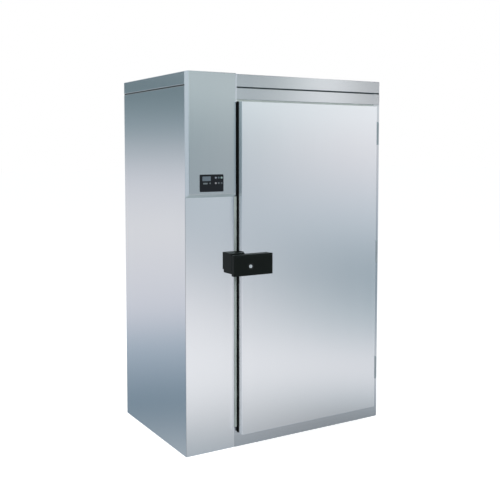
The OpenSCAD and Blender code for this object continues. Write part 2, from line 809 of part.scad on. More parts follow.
// A ring behind each opening, with four arms that hold the motor
module fan_shrouds()
    color(steel_dark) for (z = fan_zs) {
        difference() {
            bar_x([arm_x1 - arm_t, panel_x0], 0, z, shroud_r + shroud_t);
            bar_x([arm_x1 - arm_t - cut, panel_x0 + cut], 0, z, shroud_r);
        }
        difference() {
            union()
                for (a = [0, 90])
                    translate([0, 0, z]) rotate([a, 0, 0])
                        block([arm_x1 - arm_t, arm_x1], [-shroud_r - 1, shroud_r + 1], [-8, 8]);
            bar_x([arm_x1 - arm_t - cut, arm_x1 + cut], 0, z, motor_r);
        }
    }

module fan_guards()
    color(steel_dark) for (z = fan_zs)
        translate([panel_x1, 0, z]) rotate([0, 90, 0]) {
            for (i = [1 : guard_rings]) difference() {
                cylinder(r = guard_r * i / guard_rings, h = guard_t);
                translate([0, 0, -cut]) cylinder(r = guard_r * i / guard_rings - 3, h = guard_t + 2 * cut);
            }
            for (a = [0, 90]) rotate([0, 0, a + 45])
                translate([-guard_r + 1, -1.5, 0]) cube([2 * guard_r - 2, 3, guard_t]);
        }

module fan_motors()
    color(black) for (z = fan_zs) {
        bar_x([motor_x0, motor_x1], 0, z, motor_r);
        bar_x([motor_x1, fan_x + 10], 0, z, shaft_r);
    }

module fan_wheel(z)
    color("#30363a") translate([fan_x, 0, z]) rotate([0, 90, 0]) difference() {
        union() {
            translate([0, 0, -fan_depth / 2 + 1]) cylinder(r = hub_r, h = fan_depth - 2);
            intersection() {
                for (i = [0 : blades_n - 1]) rotate([0, 0, i * 360 / blades_n])
                    rotate([blade_pitch, 0, 0]) translate([hub_r - 6, -50, -1.5])
                        cube([fan_r, 100, 3]);
                translate([0, 0, -fan_depth / 2]) cylinder(r = fan_r, h = fan_depth);
            }
        }
        translate([0, 0, -fan_depth / 2 - cut])
            cylinder(r = shaft_r + running, h = fan_depth / 2 + 12 + cut);
    }

// A knob that turns a tongue into the slot in the front post
module panel_lock()
    color(black) {
        bar_x([panel_x1 + fit, panel_x1 + 10], panel_lock_y, panel_lock_z, 14);
        bar_x([tongue_x1, panel_x1 + fit], panel_lock_y, panel_lock_z, panel_lock_r);
        block([tongue_x1 - tongue_t, tongue_x1], [panel_lock_y - tongue_w / 2, panel_lock_y + tongue_w / 2],
              [panel_lock_z - tongue_l, panel_lock_z + tongue_w / 2]);
    }

// ---- Fittings ----

module light_base()
    color(white_plastic) block([light_x0, light_x0 + light_w], [light_y0, light_y0 + light_d],
                               [wall_z1 - light_base_h, wall_z1]);

module light_lens()
    color("#f4f4ee") block([light_x0 + light_rim, light_x0 + light_w - light_rim],
                           [light_y0 + light_rim, light_y0 + light_d - light_rim],
                           [wall_z1 - light_base_h - light_lens_h, wall_z1 - light_base_h]);

module rail(length, thick)
    linear_extrude(length)
        polygon([[-rail_h / 2, 0], [rail_h / 2, 0], [rail_h / 2 - 6, thick], [-rail_h / 2 + 6, thick]]);

module bumper_rails()
    color(steel_dark) for (i = [0, 1]) translate([0, 0, floor_t + rail_low + i * rail_pitch]) {
        translate([in_x1, in_y1 - rail_t - 20, 0]) rotate([90, 0, 0]) rotate([0, 0, 90])
            rail(in_y1 - in_y0 - 2 * rail_t - 100, rail_t);
        translate([open_x0 + 60, in_y1, 0]) rotate([90, 0, 90]) rotate([0, 0, 90])
            rail(in_x1 - open_x0 - 100, rail_t);
    }

module door_sensor()
    color(white_plastic) block([sensor_x - sensor_l / 2, sensor_x + sensor_l / 2],
                               [plug_y1 + 8, plug_y1 + 8 + sensor_d],
                               [open_z1 - sensor_h, open_z1]);

// Valve that lets air in and out as the chamber cools, through the back panel
module pressure_vent()
    color(white_plastic) difference() {
        union() {
            bar_y(vent_x, [in_y1 - vent_flange_t, in_y1], vent_z, vent_r + vent_flange);
            bar_y(vent_x, [in_y1, hd], vent_z, vent_r);
            bar_y(vent_x, [hd, hd + vent_hood_t], vent_z, vent_r + vent_hood);
        }
        for (i = [-2:2]) {
            half_w = sqrt(pow(vent_r - louvre_h, 2) - pow(i * louvre_pitch, 2)) - 4;
            block([vent_x - half_w, vent_x + half_w],
                  [in_y1 - vent_flange_t - cut, hd + vent_hood_t + cut],
                  [vent_z + i * louvre_pitch - louvre_h / 2, vent_z + i * louvre_pitch + louvre_h / 2]);
        }
    }

// ---- Hinges ----

module hinge_frame_leaves()
    color(steel_dark) for (z = hinge_zs) difference() {
        union() {
            block([hinge_x + 2, hinge_x + 2 + leaf_w], [-hd - leaf_t, -hd],
                  [z - knuckle_low_h, z + knuckle_up_h - 20]);
            block([hinge_x + 2, hinge_x + 14], [-hd - hinge_y, -hd], [z - knuckle_low_h, z]);
            bar_z(hinge_x, -hd - hinge_y, [z - knuckle_low_h, z], knuckle_r - 1.5);
        }
        bar_z(hinge_x, -hd - hinge_y, [z - knuckle_low_h + 10, z + cut], pin_r);
    }

module hinge_pins()
    color(galvanised) for (z = hinge_zs)
        bar_z(hinge_x, -hd - hinge_y, [z - knuckle_low_h + 10, z + knuckle_up_h - 22],
              pin_r - running);

module hinge_door_leaves()
    color(steel_dark) for (z = hinge_zs) difference() {
        union() {
            bar_z(hinge_x, -hd - hinge_y, [z + fit, z + knuckle_up_h - knuckle_r], knuckle_r);
            intersection() {
                translate([hinge_x, -hd - hinge_y, z + knuckle_up_h - knuckle_r])
                    sphere(r = knuckle_r);
                bar_z(hinge_x, -hd - hinge_y,
                      [z + knuckle_up_h - knuckle_r, z + knuckle_up_h], knuckle_r + cut);
            }
            block([door_x1, hinge_x], [-hd - hinge_y, -hd - door_gap - skin_t],
                  [z + fit, z + knuckle_up_h - knuckle_r]);
        }
        bar_z(hinge_x, -hd - hinge_y, [z - cut, z + knuckle_up_h - 21], pin_r);
    }

// ---- Door ----

module door_outer_skin()
    color(steel) difference() {
        block([door_x0, door_x1], [door_y0, door_y1], [door_z0, door_z1]);
        block([door_x0 + skin_t, door_x1 - skin_t], [door_y0 + skin_t, door_y1 - skin_t],
              [door_z0 + skin_t, door_z1 - skin_t]);
        block([door_x0 + skin_return, door_x1 - skin_return], [door_y0 + skin_t, door_y1 + cut],
              [door_z0 + skin_return, door_z1 - skin_return]);
        bar_y(rod_x, [door_y0 - cut, door_y1], latch_z, rod_r + fit);
    }

module door_foam_core()
    color(foam) difference() {
        union() {
            block([door_x0 + skin_t, door_x1 - skin_t], [door_y0 + skin_t, door_y1 - skin_t],
                  [door_z0 + skin_t, door_z1 - skin_t]);
            block([door_x0 + skin_return, door_x1 - skin_return], [door_y1 - skin_t, door_y1],
                  [door_z0 + skin_return, door_z1 - skin_return]);
            block([plug_x0 + skin_t, plug_x1 - skin_t], [door_y1, plug_y1 - skin_t],
                  [plug_z0 + skin_t, plug_z1 - skin_t]);
        }
        bar_y(rod_x, [door_y0 - cut, plug_y1 + cut], latch_z, rod_r + fit);
    }

module door_inner_liner()
    color(steel) difference() {
        block([plug_x0, plug_x1], [door_y1, plug_y1], [plug_z0, plug_z1]);
        block([plug_x0 + skin_t, plug_x1 - skin_t], [door_y1 - cut, plug_y1 - skin_t],
              [plug_z0 + skin_t, plug_z1 - skin_t]);
        bar_y(rod_x, [door_y1 - cut, plug_y1 + cut], latch_z, rod_r + fit);
    }

// A rectangular ring between an outer outline and the plug, run along Y
module ring(x, z, hole_x, hole_z, y)
    difference() {
        block(x, y, z);
        block(hole_x, [y[0] - cut, y[1] + cut], hole_z);
    }

module door_edge_profile()
    color(rubber_black)
        ring([door_x0 + profile_inset, door_x1 - profile_inset],
             [door_z0 + profile_inset, door_z1 - profile_inset],
             [plug_x0, plug_x1], [plug_z0, plug_z1], [door_y1, door_y1 + profile_t]);

module door_gasket()
    color(rubber_black)
        ring([door_x0 + gasket_in, door_x1 - gasket_in],
             [door_z0 + gasket_in, door_z1 - gasket_in],
             [door_x0 + gasket_in + gasket_w, door_x1 - gasket_in - gasket_w],
             [door_z0 + gasket_in + gasket_w, door_z1 - gasket_in - gasket_w],
             [door_y1 + profile_t, -hd - fit]);

// ---- Latch ----

// The keeper's channel is open to the front and towards the door
module latch_keeper()
    color(black) difference() {
        block([keeper_x0, keeper_x1], [case_y, -hd], [keeper_z0, keeper_z1]);
        block([keeper_x1 - bolt_catch - 10, keeper_x1 + cut], [case_y - cut, bolt_y + bolt_t / 2 + 6],
              [latch_z - bolt_h / 2 - 4, latch_z + bolt_h / 2 + 4]);
        block([keeper_x0 - cut, keeper_x0 + notch_w], [-hd - notch_d, -hd + cut],
              [keeper_z0 - cut, keeper_z0 + notch_h]);
    }

module latch_case()
    color(black) difference() {
        union() {
            block([case_x0, case_x1], [case_y, door_y0], [latch_z0 + 2, latch_z1 - 2]);
            // tab round the edge of the door
            block([case_x0, door_x0], [door_y0 - case_t / 2, door_y1],
                  [latch_z0 + 2, latch_z1 - 2 + tab_up]);
            block([pivot_x - boss_r, pivot_x + boss_r], [pivot_y, case_y],
                  [latch_z - boss_h / 2, latch_z + boss_h / 2]);
            bar_z(pivot_x, pivot_y, [latch_z - boss_h / 2, latch_z + boss_h / 2], boss_r);
        }
        bar_z(pivot_x, pivot_y, [latch_z - boss_h, latch_z + boss_h], lever_pin_r);
        bar_y(rod_x, [case_y - cut, door_y0 + cut], latch_z, rod_r + fit);
        block([case_x0 - cut, bolt_x0 + bolt_l + bolt_travel + fit],
              [bolt_y - bolt_t / 2 - fit, bolt_y + bolt_t / 2 + fit],
              [latch_z - bolt_h / 2 - fit, latch_z + bolt_h / 2 + fit]);
    }

module lever_pin()
    color(galvanised) bar_z(pivot_x, pivot_y, [latch_z0 + 1, latch_z1 - 1], lever_pin_r - running);

// A hollow lever that covers keeper and case, with its round end about the pin
module latch_lever()
    color(black) difference() {
        intersection() {
            union() {
                block([keeper_x0, pivot_x], [lever_y0, lever_y1], [latch_z0, latch_z1]);
                bar_z(pivot_x, pivot_y, [latch_z0, latch_z1], lever_end_r);
            }
            run_x([keeper_x0 - cut, case_x1 + cut],
                  [[lever_y1, latch_z0], [lever_y1, latch_z1], [lever_y0 + lever_bevel, latch_z1],
                   [lever_y0, latch_z1 - lever_bevel], [lever_y0, latch_z0]]);
        }
        block([keeper_x0 + lever_wall, pivot_x - boss_r - 4],
              [lever_y0 + lever_wall, lever_y1 + cut],
              [latch_z0 + lever_wall, latch_z1 - max(lever_wall, lever_bevel)]);
        // room for the case's boss while the lever turns
        bar_z(pivot_x, pivot_y, [latch_z - boss_h / 2 - cut, latch_z + boss_h / 2 + cut], boss_r + 1);
        block([pivot_x - boss_r - 4 - cut, pivot_x + lever_end_r + cut], [pivot_y - 1, lever_y1 + cut],
              [latch_z - boss_h / 2 - cut, latch_z + boss_h / 2 + cut]);
        bar_z(pivot_x, pivot_y, [latch_z0 - cut, latch_z1 + cut], lever_pin_r + running);
        bar_y(keeper_x0 + lock_x, [lever_y0 - cut, lever_y0 + lever_wall + cut], lock_z,
              lock_r + running);
    }

module latch_bolt()
    color(galvanised) block([bolt_x0, bolt_x0 + bolt_l], [bolt_y - bolt_t / 2, bolt_y + bolt_t / 2],
                            [latch_z - bolt_h / 2, latch_z + bolt_h / 2]);

module lock_cylinder()
    color(aluminium) difference() {
        union() {
            bar_y(keeper_x0 + lock_x, [lever_y0 - 2, lever_y0 + lever_wall + fit], lock_z, lock_r);
            bar_y(keeper_x0 + lock_x, [lever_y0 + lever_wall + fit, lever_y0 + lever_wall + 8],
                  lock_z, lock_r + 4);
        }
        block([keeper_x0 + lock_x - 1, keeper_x0 + lock_x + 1], [lever_y0 - 2 - cut, lever_y0 + 2],
              [lock_z - lock_r * 0.6, lock_z + lock_r * 0.6]);
    }

// Rod through the door with a knob inside the chamber
module inside_release()
    color(black) {
        bar_y(rod_x, [rod_tip_y, plug_y1 + rod_travel + 2], latch_z, rod_r);
        bar_y(rod_x, [plug_y1 + rod_travel + 2, plug_y1 + rod_travel + 2 + knob_t], latch_z, knob_r);
    }

floor_panel();
left_side_panel();
right_side_panel();
back_panel();
roof_panel();
column_front_panel();
right_jamb();
front_lintel();
door_frame();
threshold_plate();
control_cover();
cover_screws();
electrical_box();
control_board();
control_gear();
display_case();
display_window();
key_cap(3);  // key_1
key_cap(4);  // key_2
key_cap(5);  // key_3
key_cap(0);  // key_4
key_cap(1);  // key_5
key_cap(2);  // key_6
latch_keeper();
hinge_frame_leaves();
hinge_pins();
coil_casing();
coil_fins();
coil_tubes();
refrigerant_lines();
expansion_valve();
drip_tray();
drain_pipe();
cable_gland();
light_base();
light_lens();
bumper_rails();
door_sensor();
pressure_vent();
panel_posts();
fan_panel();
fan_shrouds();
fan_guards();
fan_motors();
fan_wheel(fan_zs[0]);  // fan_lower
fan_wheel(fan_zs[1]);  // fan_middle
fan_wheel(fan_zs[2]);  // fan_upper
panel_lock();
door_outer_skin();
door_foam_core();
door_inner_liner();
door_edge_profile();
door_gasket();
hinge_door_leaves();
latch_case();
lever_pin();
latch_lever();
latch_bolt();
lock_cylinder();
inside_release();
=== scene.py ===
import json
import math

import bmesh
import bpy
from mathutils import Matrix, Vector


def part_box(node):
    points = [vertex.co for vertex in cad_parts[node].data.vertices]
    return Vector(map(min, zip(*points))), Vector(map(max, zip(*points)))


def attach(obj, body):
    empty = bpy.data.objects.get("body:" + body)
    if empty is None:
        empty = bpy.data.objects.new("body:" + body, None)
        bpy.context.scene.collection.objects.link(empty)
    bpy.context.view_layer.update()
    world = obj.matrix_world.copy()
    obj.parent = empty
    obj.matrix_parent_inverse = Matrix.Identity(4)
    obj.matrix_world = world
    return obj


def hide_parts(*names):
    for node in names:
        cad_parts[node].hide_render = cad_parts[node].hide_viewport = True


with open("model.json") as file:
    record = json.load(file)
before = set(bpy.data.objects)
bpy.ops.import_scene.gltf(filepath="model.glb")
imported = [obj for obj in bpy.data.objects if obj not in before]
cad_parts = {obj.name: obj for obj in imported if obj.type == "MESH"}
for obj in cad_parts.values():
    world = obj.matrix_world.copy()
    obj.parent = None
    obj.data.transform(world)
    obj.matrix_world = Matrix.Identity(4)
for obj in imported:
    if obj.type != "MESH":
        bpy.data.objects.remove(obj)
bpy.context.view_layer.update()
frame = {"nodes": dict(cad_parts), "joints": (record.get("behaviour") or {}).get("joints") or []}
nodes = frame["nodes"]


# ---- Camera: the photographer stands at eye level in front of the left corner. The lens is a short
# telephoto one, level but for a small tilt, and its shift keeps the cabinet's uprights near vertical.

scene = bpy.context.scene
view = bpy.data.cameras.new("photographer")
view.lens = 56.24
view.sensor_width = 36
view.shift_y = -0.10
view.clip_end = 200
photographer = bpy.data.objects.new("photographer", view)
photographer.location = (-2.6228, -4.3982, 1.7579)
photographer.rotation_euler = (math.pi / 2 - 0.0633, 0, -0.5364)
scene.collection.objects.link(photographer)
scene.camera = photographer
scene.view_settings.view_transform = "Standard"


# ---- Studio: a white paper floor that runs off to a white background, with soft light from all
# round. Brushed steel shows the room as broad bands, so for reflections the room has its own
# tones: stripes by height to the left, to the right and behind, a strip light and two windows.

def colour(code):
    """The linear colour of an sRGB hex value."""
    parts = [int(code[i:i + 2], 16) / 255 for i in (1, 3, 5)]
    return [c / 12.92 if c <= 0.04045 else ((c + 0.055) / 1.055) ** 2.4 for c in parts] + [1]


def add(tree, kind, settings={}):
    """Adds a node. Settings go to its properties, its ramp's stops or its inputs. An input takes a
    value, a socket, or a node, whose first output it is linked to."""
    made = tree.nodes.new(kind)
    for key, value in settings.items():
        if isinstance(value, bpy.types.Node):
            value = value.outputs[0]
        if key == "stops":
            stops = made.color_ramp.elements
            while len(stops) < len(value):
                stops.new(0.5)
            for stop, (place, tone) in zip(stops, value):
                stop.position = place
                stop.color = colour(tone) if isinstance(tone, str) else tone
        elif isinstance(key, str) and hasattr(made, key):
            setattr(made, key, value)
        elif isinstance(value, bpy.types.NodeSocket):
            tree.links.new(value, made.inputs[key])
        else:
            made.inputs[key].default_value = value
    return made


def clear_tree(holder):
    """Turns on nodes for a material or world and returns its empty tree."""
    holder.use_nodes = True
    holder.node_tree.nodes.clear()
    return holder.node_tree


room = bpy.data.worlds.new("studio_room")
scene.world = room
tree = clear_tree(room)
towards = add(tree, "ShaderNodeTexCoord")
across, away, upwards = add(tree, "ShaderNodeSeparateXYZ", {0: towards.outputs["Generated"]}).outputs
height = add(tree, "ShaderNodeMapRange", {0: upwards, 1: -0.5, 2: 0.5})
left_bands = add(tree, "ShaderNodeValToRGB", {0: height, "stops": [
    (0.065, "#cbd5d9"), (0.125, "#8795a0"), (0.18, "#f6f4f5"), (0.23, "#f9f8f9"), (0.30, "#f1edef"),
    (0.38, "#c3c8ce"), (0.46, "#a9b5bd"), (0.53, "#9aafb6"), (0.60, "#eef7f9")]})
right_bands = add(tree, "ShaderNodeValToRGB", {0: height, "stops": [
    (0.05, "#59666a"), (0.09, "#131a1c"), (0.172, "#131a1c"), (0.192, "#a2b5be"), (0.225, "#fcf6f7"),
    (0.28, "#a0afb6"), (0.345, "#6c848e"), (0.42, "#c3cad1"), (0.50, "#eee7e8"), (0.56, "#ffffff")]})
rear_bands = add(tree, "ShaderNodeValToRGB", {0: height, "stops": [
    (0.06, "#c8ccd0"), (0.19, "#6d818f"), (0.255, "#a1aebb"), (0.30, "#cdced6"), (0.40, "#dcdbdd"),
    (0.46, "#cecfd5"), (0.53, "#86969d"), (0.58, "#5e7278"), (0.75, "#c8ccd0")]})
# overhead the room is dim, with one bright strip light
overhead = add(tree, "ShaderNodeValToRGB", {0: across, "stops": [
    (0.30, "#e9f7fa"), (0.455, "#d5e0e4"), (0.49, "#39444a"), (0.545, "#76817f"), (0.578, "#ffffff"),
    (0.606, "#ffffff"), (0.624, "#1a2225"), (0.70, "#2a3337"), (0.85, "#c8ccd0")]})
# left passes into right, the front into overhead, and both into the rear
room_tones = left_bands
for next_tones, way, low, high in ((right_bands, across, 0.45, 0.60), (overhead, upwards, 0.095, 0.125),
                                   (rear_bands, away, -0.15, 0.35)):
    share = add(tree, "ShaderNodeMapRange", {0: way, 1: low, 2: high})
    room_tones = add(tree, "ShaderNodeMix", {
        "data_type": "RGBA", 0: share, 6: room_tones, 7: next_tones}).outputs[2]
# a window on each side, where the cover's bevels reflect it
window_side = add(tree, "ShaderNodeValToRGB", {
    0: add(tree, "ShaderNodeMath", {"operation": "ABSOLUTE", 0: across}),
    "stops": [(0.72, "#000000"), (0.80, "#ffffff"), (0.90, "#ffffff"), (0.95, "#000000")]})
bands = add(tree, "ShaderNodeMix", {
    "data_type": "RGBA", 0: window_side, 6: room_tones, 7: colour("#eef4ff")}).outputs[2]
ray = add(tree, "ShaderNodeLightPath")
soft_light = add(tree, "ShaderNodeBackground", {0: colour("#f2f4f6"), 1: 0.62})
reflected = add(tree, "ShaderNodeBackground", {0: bands, 1: 1.25})
paper_white = add(tree, "ShaderNodeBackground", {0: (1, 1, 1, 1), 1: 1.0})
in_metal = add(tree, "ShaderNodeMixShader", {
    0: ray.outputs["Is Glossy Ray"], 1: soft_light, 2: reflected})
seen = add(tree, "ShaderNodeMixShader", {0: ray.outputs["Is Camera Ray"], 1: in_metal, 2: paper_white})
add(tree, "ShaderNodeOutputWorld", {0: seen})

# to the camera the paper also glows, so that it runs into the background with no shadow
paper = bpy.data.materials.new("matt_white_paper")
tree = clear_tree(paper)
ray = add(tree, "ShaderNodeLightPath")
lit = add(tree, "ShaderNodeBsdfDiffuse", {"Color": colour("#ececeb")})
glow = add(tree, "ShaderNodeEmission", {"Color": (1, 1, 1, 1), "Strength": 0.535})
both = add(tree, "ShaderNodeAddShader", {0: lit, 1: glow})
shown = add(tree, "ShaderNodeMixShader", {0: ray.outputs["Is Camera Ray"], 1: lit, 2: both})
add(tree, "ShaderNodeOutputMaterial", {0: shown})
sheet = bpy.data.meshes.new("paper_floor")
sheet.from_pydata([(-60, -60, 0), (60, -60, 0), (60, 60, 0), (-60, 60, 0)], [], [(0, 1, 2, 3)])
sheet.materials.append(paper)
floor = bpy.data.objects.new("paper_floor", sheet)
scene.collection.objects.link(floor)
floor.visible_glossy = False


def softbox(name, place, size, power, aim=None):
    """A square lamp aimed at a point, or straight down."""
    lamp = bpy.data.lights.new(name, "AREA")
    lamp.size = size
    lamp.energy = power
    made = bpy.data.objects.new(name, lamp)
    made.location = place
    if aim:
        made.rotation_euler = (Vector(aim) - Vector(place)).to_track_quat("-Z", "Y").to_euler()
    scene.collection.objects.link(made)
    return made


for name, place, size, power in (("key_softbox", (-3.2, -4.6, 4.2), 3.5, 150),
                                 ("fill_softbox", (4.2, -3.4, 3.2), 3.0, 80),
                                 ("back_softbox", (-2.4, 4.4, 3.6), 3.0, 70)):
    softbox(name, place, size, power, (0, 0, 1.0)).visible_glossy = False
# a work light hung inside the chamber shows it when the door stands open
softbox("chamber_softbox", (0.2, -0.1, 1.93), 0.5, 14).visible_camera = False


# ---- Insulated panels: walls, roof and floor are sandwich panels, foam between sheets of
# stainless steel. The sheets are bent on a brake, so every edge has a small radius, and where
# two panels meet their edges leave a fine dark joint.

def box_of(node):
    """A CAD node's lowest and highest x, y and z."""
    low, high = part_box(node)
    return (low.x, high.x), (low.y, high.y), (low.z, high.z)


def inset(pair, low, high=None):
    """A low and a high value drawn in from their ends by two lengths, or by one that serves both."""
    return pair[0] + low, pair[1] - (low if high is None else high)


def mid(pair):
    """The middle of a low and a high value."""
    return (pair[0] + pair[1]) / 2


def spread(pair, count):
    """Even steps from a low value to a high one."""
    return [pair[0] + (pair[1] - pair[0]) * i / (count - 1) for i in range(count)]


def prism(form, outline, axis, span, edge=0.0, steps=2, rims_only=False):
    """Adds a bar of the given outline along an axis, with its edges, or only its ends', rounded."""
    turn = {"x": lambda a, b, h: (h, a, b), "y": lambda a, b, h: (a, h, b),
            "z": lambda a, b, h: (a, b, h)}[axis]
    ends = [[form.verts.new(turn(a, b, h)) for a, b in outline] for h in span]
    faces = [form.faces.new(ends[0]), form.faces.new(ends[1])]
    for i in range(len(outline)):
        j = (i + 1) % len(outline)
        faces.append(form.faces.new((ends[0][i], ends[0][j], ends[1][j], ends[1][i])))
    bmesh.ops.recalc_face_normals(form, faces=faces)
    if edge:
        rims = list({e for f in faces[:2 if rims_only else None] for e in f.edges})
        bmesh.ops.bevel(form, geom=rims, offset=edge, segments=steps, profile=0.5,
                        affect="EDGES", clamp_overlap=True)


def block(form, x, y, z, edge=0.0, steps=2):
    """Adds a block between low and high values, its edges rounded."""
    prism(form, [(x[0], y[0]), (x[1], y[0]), (x[1], y[1]), (x[0], y[1])], "z", z, edge, steps)


def skin_between(form, rings):
    """Adds faces between each ring of points and the next, and returns them. Points that meet in
    one are taken once."""
    faces = []
    for one, two in zip(rings, rings[1:]):
        for k in range(len(one)):
            n = (k + 1) % len(one)
            corners = list(dict.fromkeys((one[k], one[n], two[n], two[k])))
            if len(corners) > 2:
                faces.append(form.faces.new(corners))
    return faces


def lathe(form, profile, axis, centre, sides=48):
    """Adds a turned solid: a profile of (radius, place along the axis), closed to itself. Its
    centre is a point, or two values across the axis."""
    turn = {"x": lambda a, b, h: (h, a, b), "y": lambda a, b, h: (b, h, a),
            "z": lambda a, b, h: (a, b, h)}[axis]
    start = list(centre)
    if len(start) == 2:
        start.insert("xyz".index(axis), 0)
    start = Vector(start)
    rings = []
    for r, h in profile:
        if r < 1e-7:
            rings.append([form.verts.new(start + Vector(turn(0, 0, h)))] * sides)
        else:
            rings.append([form.verts.new(start + Vector(turn(
                r * math.cos(2 * math.pi * k / sides), r * math.sin(2 * math.pi * k / sides), h)))
                for k in range(sides)])
    faces = skin_between(form, rings + rings[:1] if profile[0][0] > 0 else rings)
    bmesh.ops.recalc_face_normals(form, faces=faces)


def rod(form, axis, centre, radius, span, edge=0.0006, sides=32):
    """Adds a round bar with broken edges."""
    low, high = span
    lathe(form, [(0, low), (radius - edge, low), (radius, low + edge), (radius, high - edge),
                 (radius - edge, high), (0, high)], axis, centre, sides)


def shade_flat_past(mesh, angle):
    """Shades faces that meet at less than the angle as one surface."""
    mesh.shade_smooth()
    mesh.set_sharp_from_angle(angle=math.radians(angle))


def object_from(name, form, smooth=35):
    """Makes the object of a form."""
    mesh = bpy.data.meshes.new(name)
    form.to_mesh(mesh)
    form.free()
    shade_flat_past(mesh, smooth)
    made = bpy.data.objects.new(name, mesh)
    scene.collection.objects.link(made)
    return made


def shape(name, *steps, smooth=35):
    """Makes an object in steps, each a function that adds to its form with what it is given."""
    form = bmesh.new()
    for do, *what in steps:
        do(form, *what)
    return object_from(name, form, smooth)


def plain_mesh(piece):
    """Applies a piece's modifiers."""
    seen_now = bpy.context.evaluated_depsgraph_get()
    mesh = bpy.data.meshes.new_from_object(piece.evaluated_get(seen_now), depsgraph=seen_now)
    piece.modifiers.clear()
    piece.data = mesh
    return piece


def cut_from(piece, *steps):
    """Cuts a form made in steps out of a piece, as a drill or a punch does."""
    tool = shape("tool", *steps)
    cut = piece.modifiers.new("cut", "BOOLEAN")
    cut.object = tool
    cut.solver = "EXACT"
    cut.use_self = True
    bpy.context.view_layer.update()
    plain_mesh(piece)
    bpy.data.objects.remove(tool)
    shade_flat_past(piece.data, 35)
    return piece


def ride_with(piece, stands_for=(), body="cabinet"):
    """Fixes a piece that has its finish to its body, its broad faces shaded as flat as they are."""
    flat = piece.modifiers.new("flat_faces", "WEIGHTED_NORMAL")
    flat.keep_sharp = True
    flat.weight = 100
    plain_mesh(piece)
    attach(piece, body)
    if stands_for:
        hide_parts(*stands_for)


def fit(piece, finish, stands_for=(), body="cabinet"):
    """Gives a piece its finish and fixes it to its body."""
    piece.data.materials.clear()
    piece.data.materials.append(finish)
    ride_with(piece, stands_for, body)


def new_finish(name):
    """Starts a material. Returns it, its tree and its coordinates."""
    finish = bpy.data.materials.new(name)
    tree = clear_tree(finish)
    return finish, tree, add(tree, "ShaderNodeTexCoord")


def shades(tone, *stops):
    """A ramp's stops that make a tone darker and lighter, each given as (place, share of the tone)."""
    return [(place, [min(1, c * share) for c in colour(tone)[:3]] + [1]) for place, share in stops]


def brushed_stainless(name, tone, rough, aniso=0.75, along=(420, 420, 2.5), folded=False,
                      front_share=0.0):
    """Stainless sheet with a satin brush. The real scratches are 0.1 mm apart; these are drawn
    about 2.4 mm apart, so that a trace of them shows. They run upright and blur reflections across
    themselves. On a folded sheet they run level on a front face and upright on a side face. A front
    share makes a cover's lower and right bevels shade more like its front, as soft folds do."""
    finish, tree, place = new_finish(name)
    lanes = add(tree, "ShaderNodeMapping", {0: place.outputs["Object"], "Scale": along})
    scratch = add(tree, "ShaderNodeTexNoise", {"Vector": lanes, "Scale": 1.0, "Detail": 3.0})
    # slow waviness of thin sheet over foam, about a hand's width across
    wave = add(tree, "ShaderNodeTexNoise", {
        "Vector": place.outputs["Object"], "Scale": 2.2, "Detail": 1.0})
    gloss = add(tree, "ShaderNodeMapRange", {0: scratch, 3: rough - 0.015, 4: rough + 0.015})
    lines = add(tree, "ShaderNodeBump", {"Strength": 0.02, "Distance": 0.0004, "Height": scratch})
    normal = add(tree, "ShaderNodeBump", {
        "Strength": 0.05, "Distance": 0.004, "Height": wave, "Normal": lines})
    brush_turn = 0.0
    if front_share or folded:
        sideways = add(tree, "ShaderNodeSeparateXYZ", {0: place.outputs["Normal"]})
    if front_share:
        not_left = add(tree, "ShaderNodeMath", {"operation": "GREATER_THAN", 0: sideways, 1: -0.3})
        share = add(tree, "ShaderNodeMath", {"operation": "MULTIPLY", 0: not_left, 1: front_share})
        towards_front = add(tree, "ShaderNodeMix", {
            "data_type": "VECTOR", 0: share, 4: normal, 5: (0, -1, 0)})
        normal = add(tree, "ShaderNodeVectorMath", {
            "operation": "NORMALIZE", 0: towards_front.outputs[1]})
    if folded:
        tilt = add(tree, "ShaderNodeMath", {"operation": "ABSOLUTE", 0: sideways})
        level = add(tree, "ShaderNodeMath", {"operation": "LESS_THAN", 0: tilt, 1: 0.5})
        brush_turn = add(tree, "ShaderNodeMath", {"operation": "MULTIPLY", 0: level, 1: 0.25})
    skin = add(tree, "ShaderNodeBsdfPrincipled", {
        "Metallic": 1.0, "Anisotropic": aniso, "Anisotropic Rotation": brush_turn,
        "Base Color": add(tree, "ShaderNodeValToRGB", {
            0: scratch, "stops": shades(tone, (0.25, 0.98), (0.75, 1.02))}),
        "Roughness": gloss, "Normal": normal})
    add(tree, "ShaderNodeOutputMaterial", {0: skin})
    return finish


wall_steel = brushed_stainless("brushed_stainless_sheet", "#dfe2e5", 0.20)
roof_steel = brushed_stainless("brushed_stainless_roof_sheet", "#dadee1", 0.20, 0.95, (2.5, 420, 420),
                               folded=True)
lining_steel = brushed_stainless("satin_stainless_lining", "#d2d6d8", 0.36, 0.5)
# painted shade: a darker copy of the wall's stainless for the strips beside and under the door, where the
# door shades them
shaded_strip_steel = brushed_stainless("brushed_stainless_corner_strip", "#c2c7cb", 0.20)
joint = 0.0005
fold = 0.0018
wall = 0.080
mitre = wall + joint
past = 0.01  # how far a cutting tool reaches out of what it cuts
frame_x, frame_y, frame_z = box_of("door_frame")
box_x, box_y, box_z = box_of("electrical_box")

x, y, z = box_of("left_side_panel")
fit(shape("left_wall", (prism, [(x[0], y[0] + joint), (x[1], y[0] + mitre), (x[1], y[1] - mitre),
                                (x[0], y[1] - joint)], "z", inset(z, 0, joint), fold)),
    wall_steel, ["left_side_panel"])

x, y, z = box_of("right_side_panel")
fit(shape("right_wall", (prism, [(x[0], y[0] + joint), (x[1], y[0] + joint), (x[1], y[1] - joint),
                                 (x[0], y[1] - mitre)], "z", inset(z, 0, joint), fold)),
    wall_steel, ["right_side_panel"])

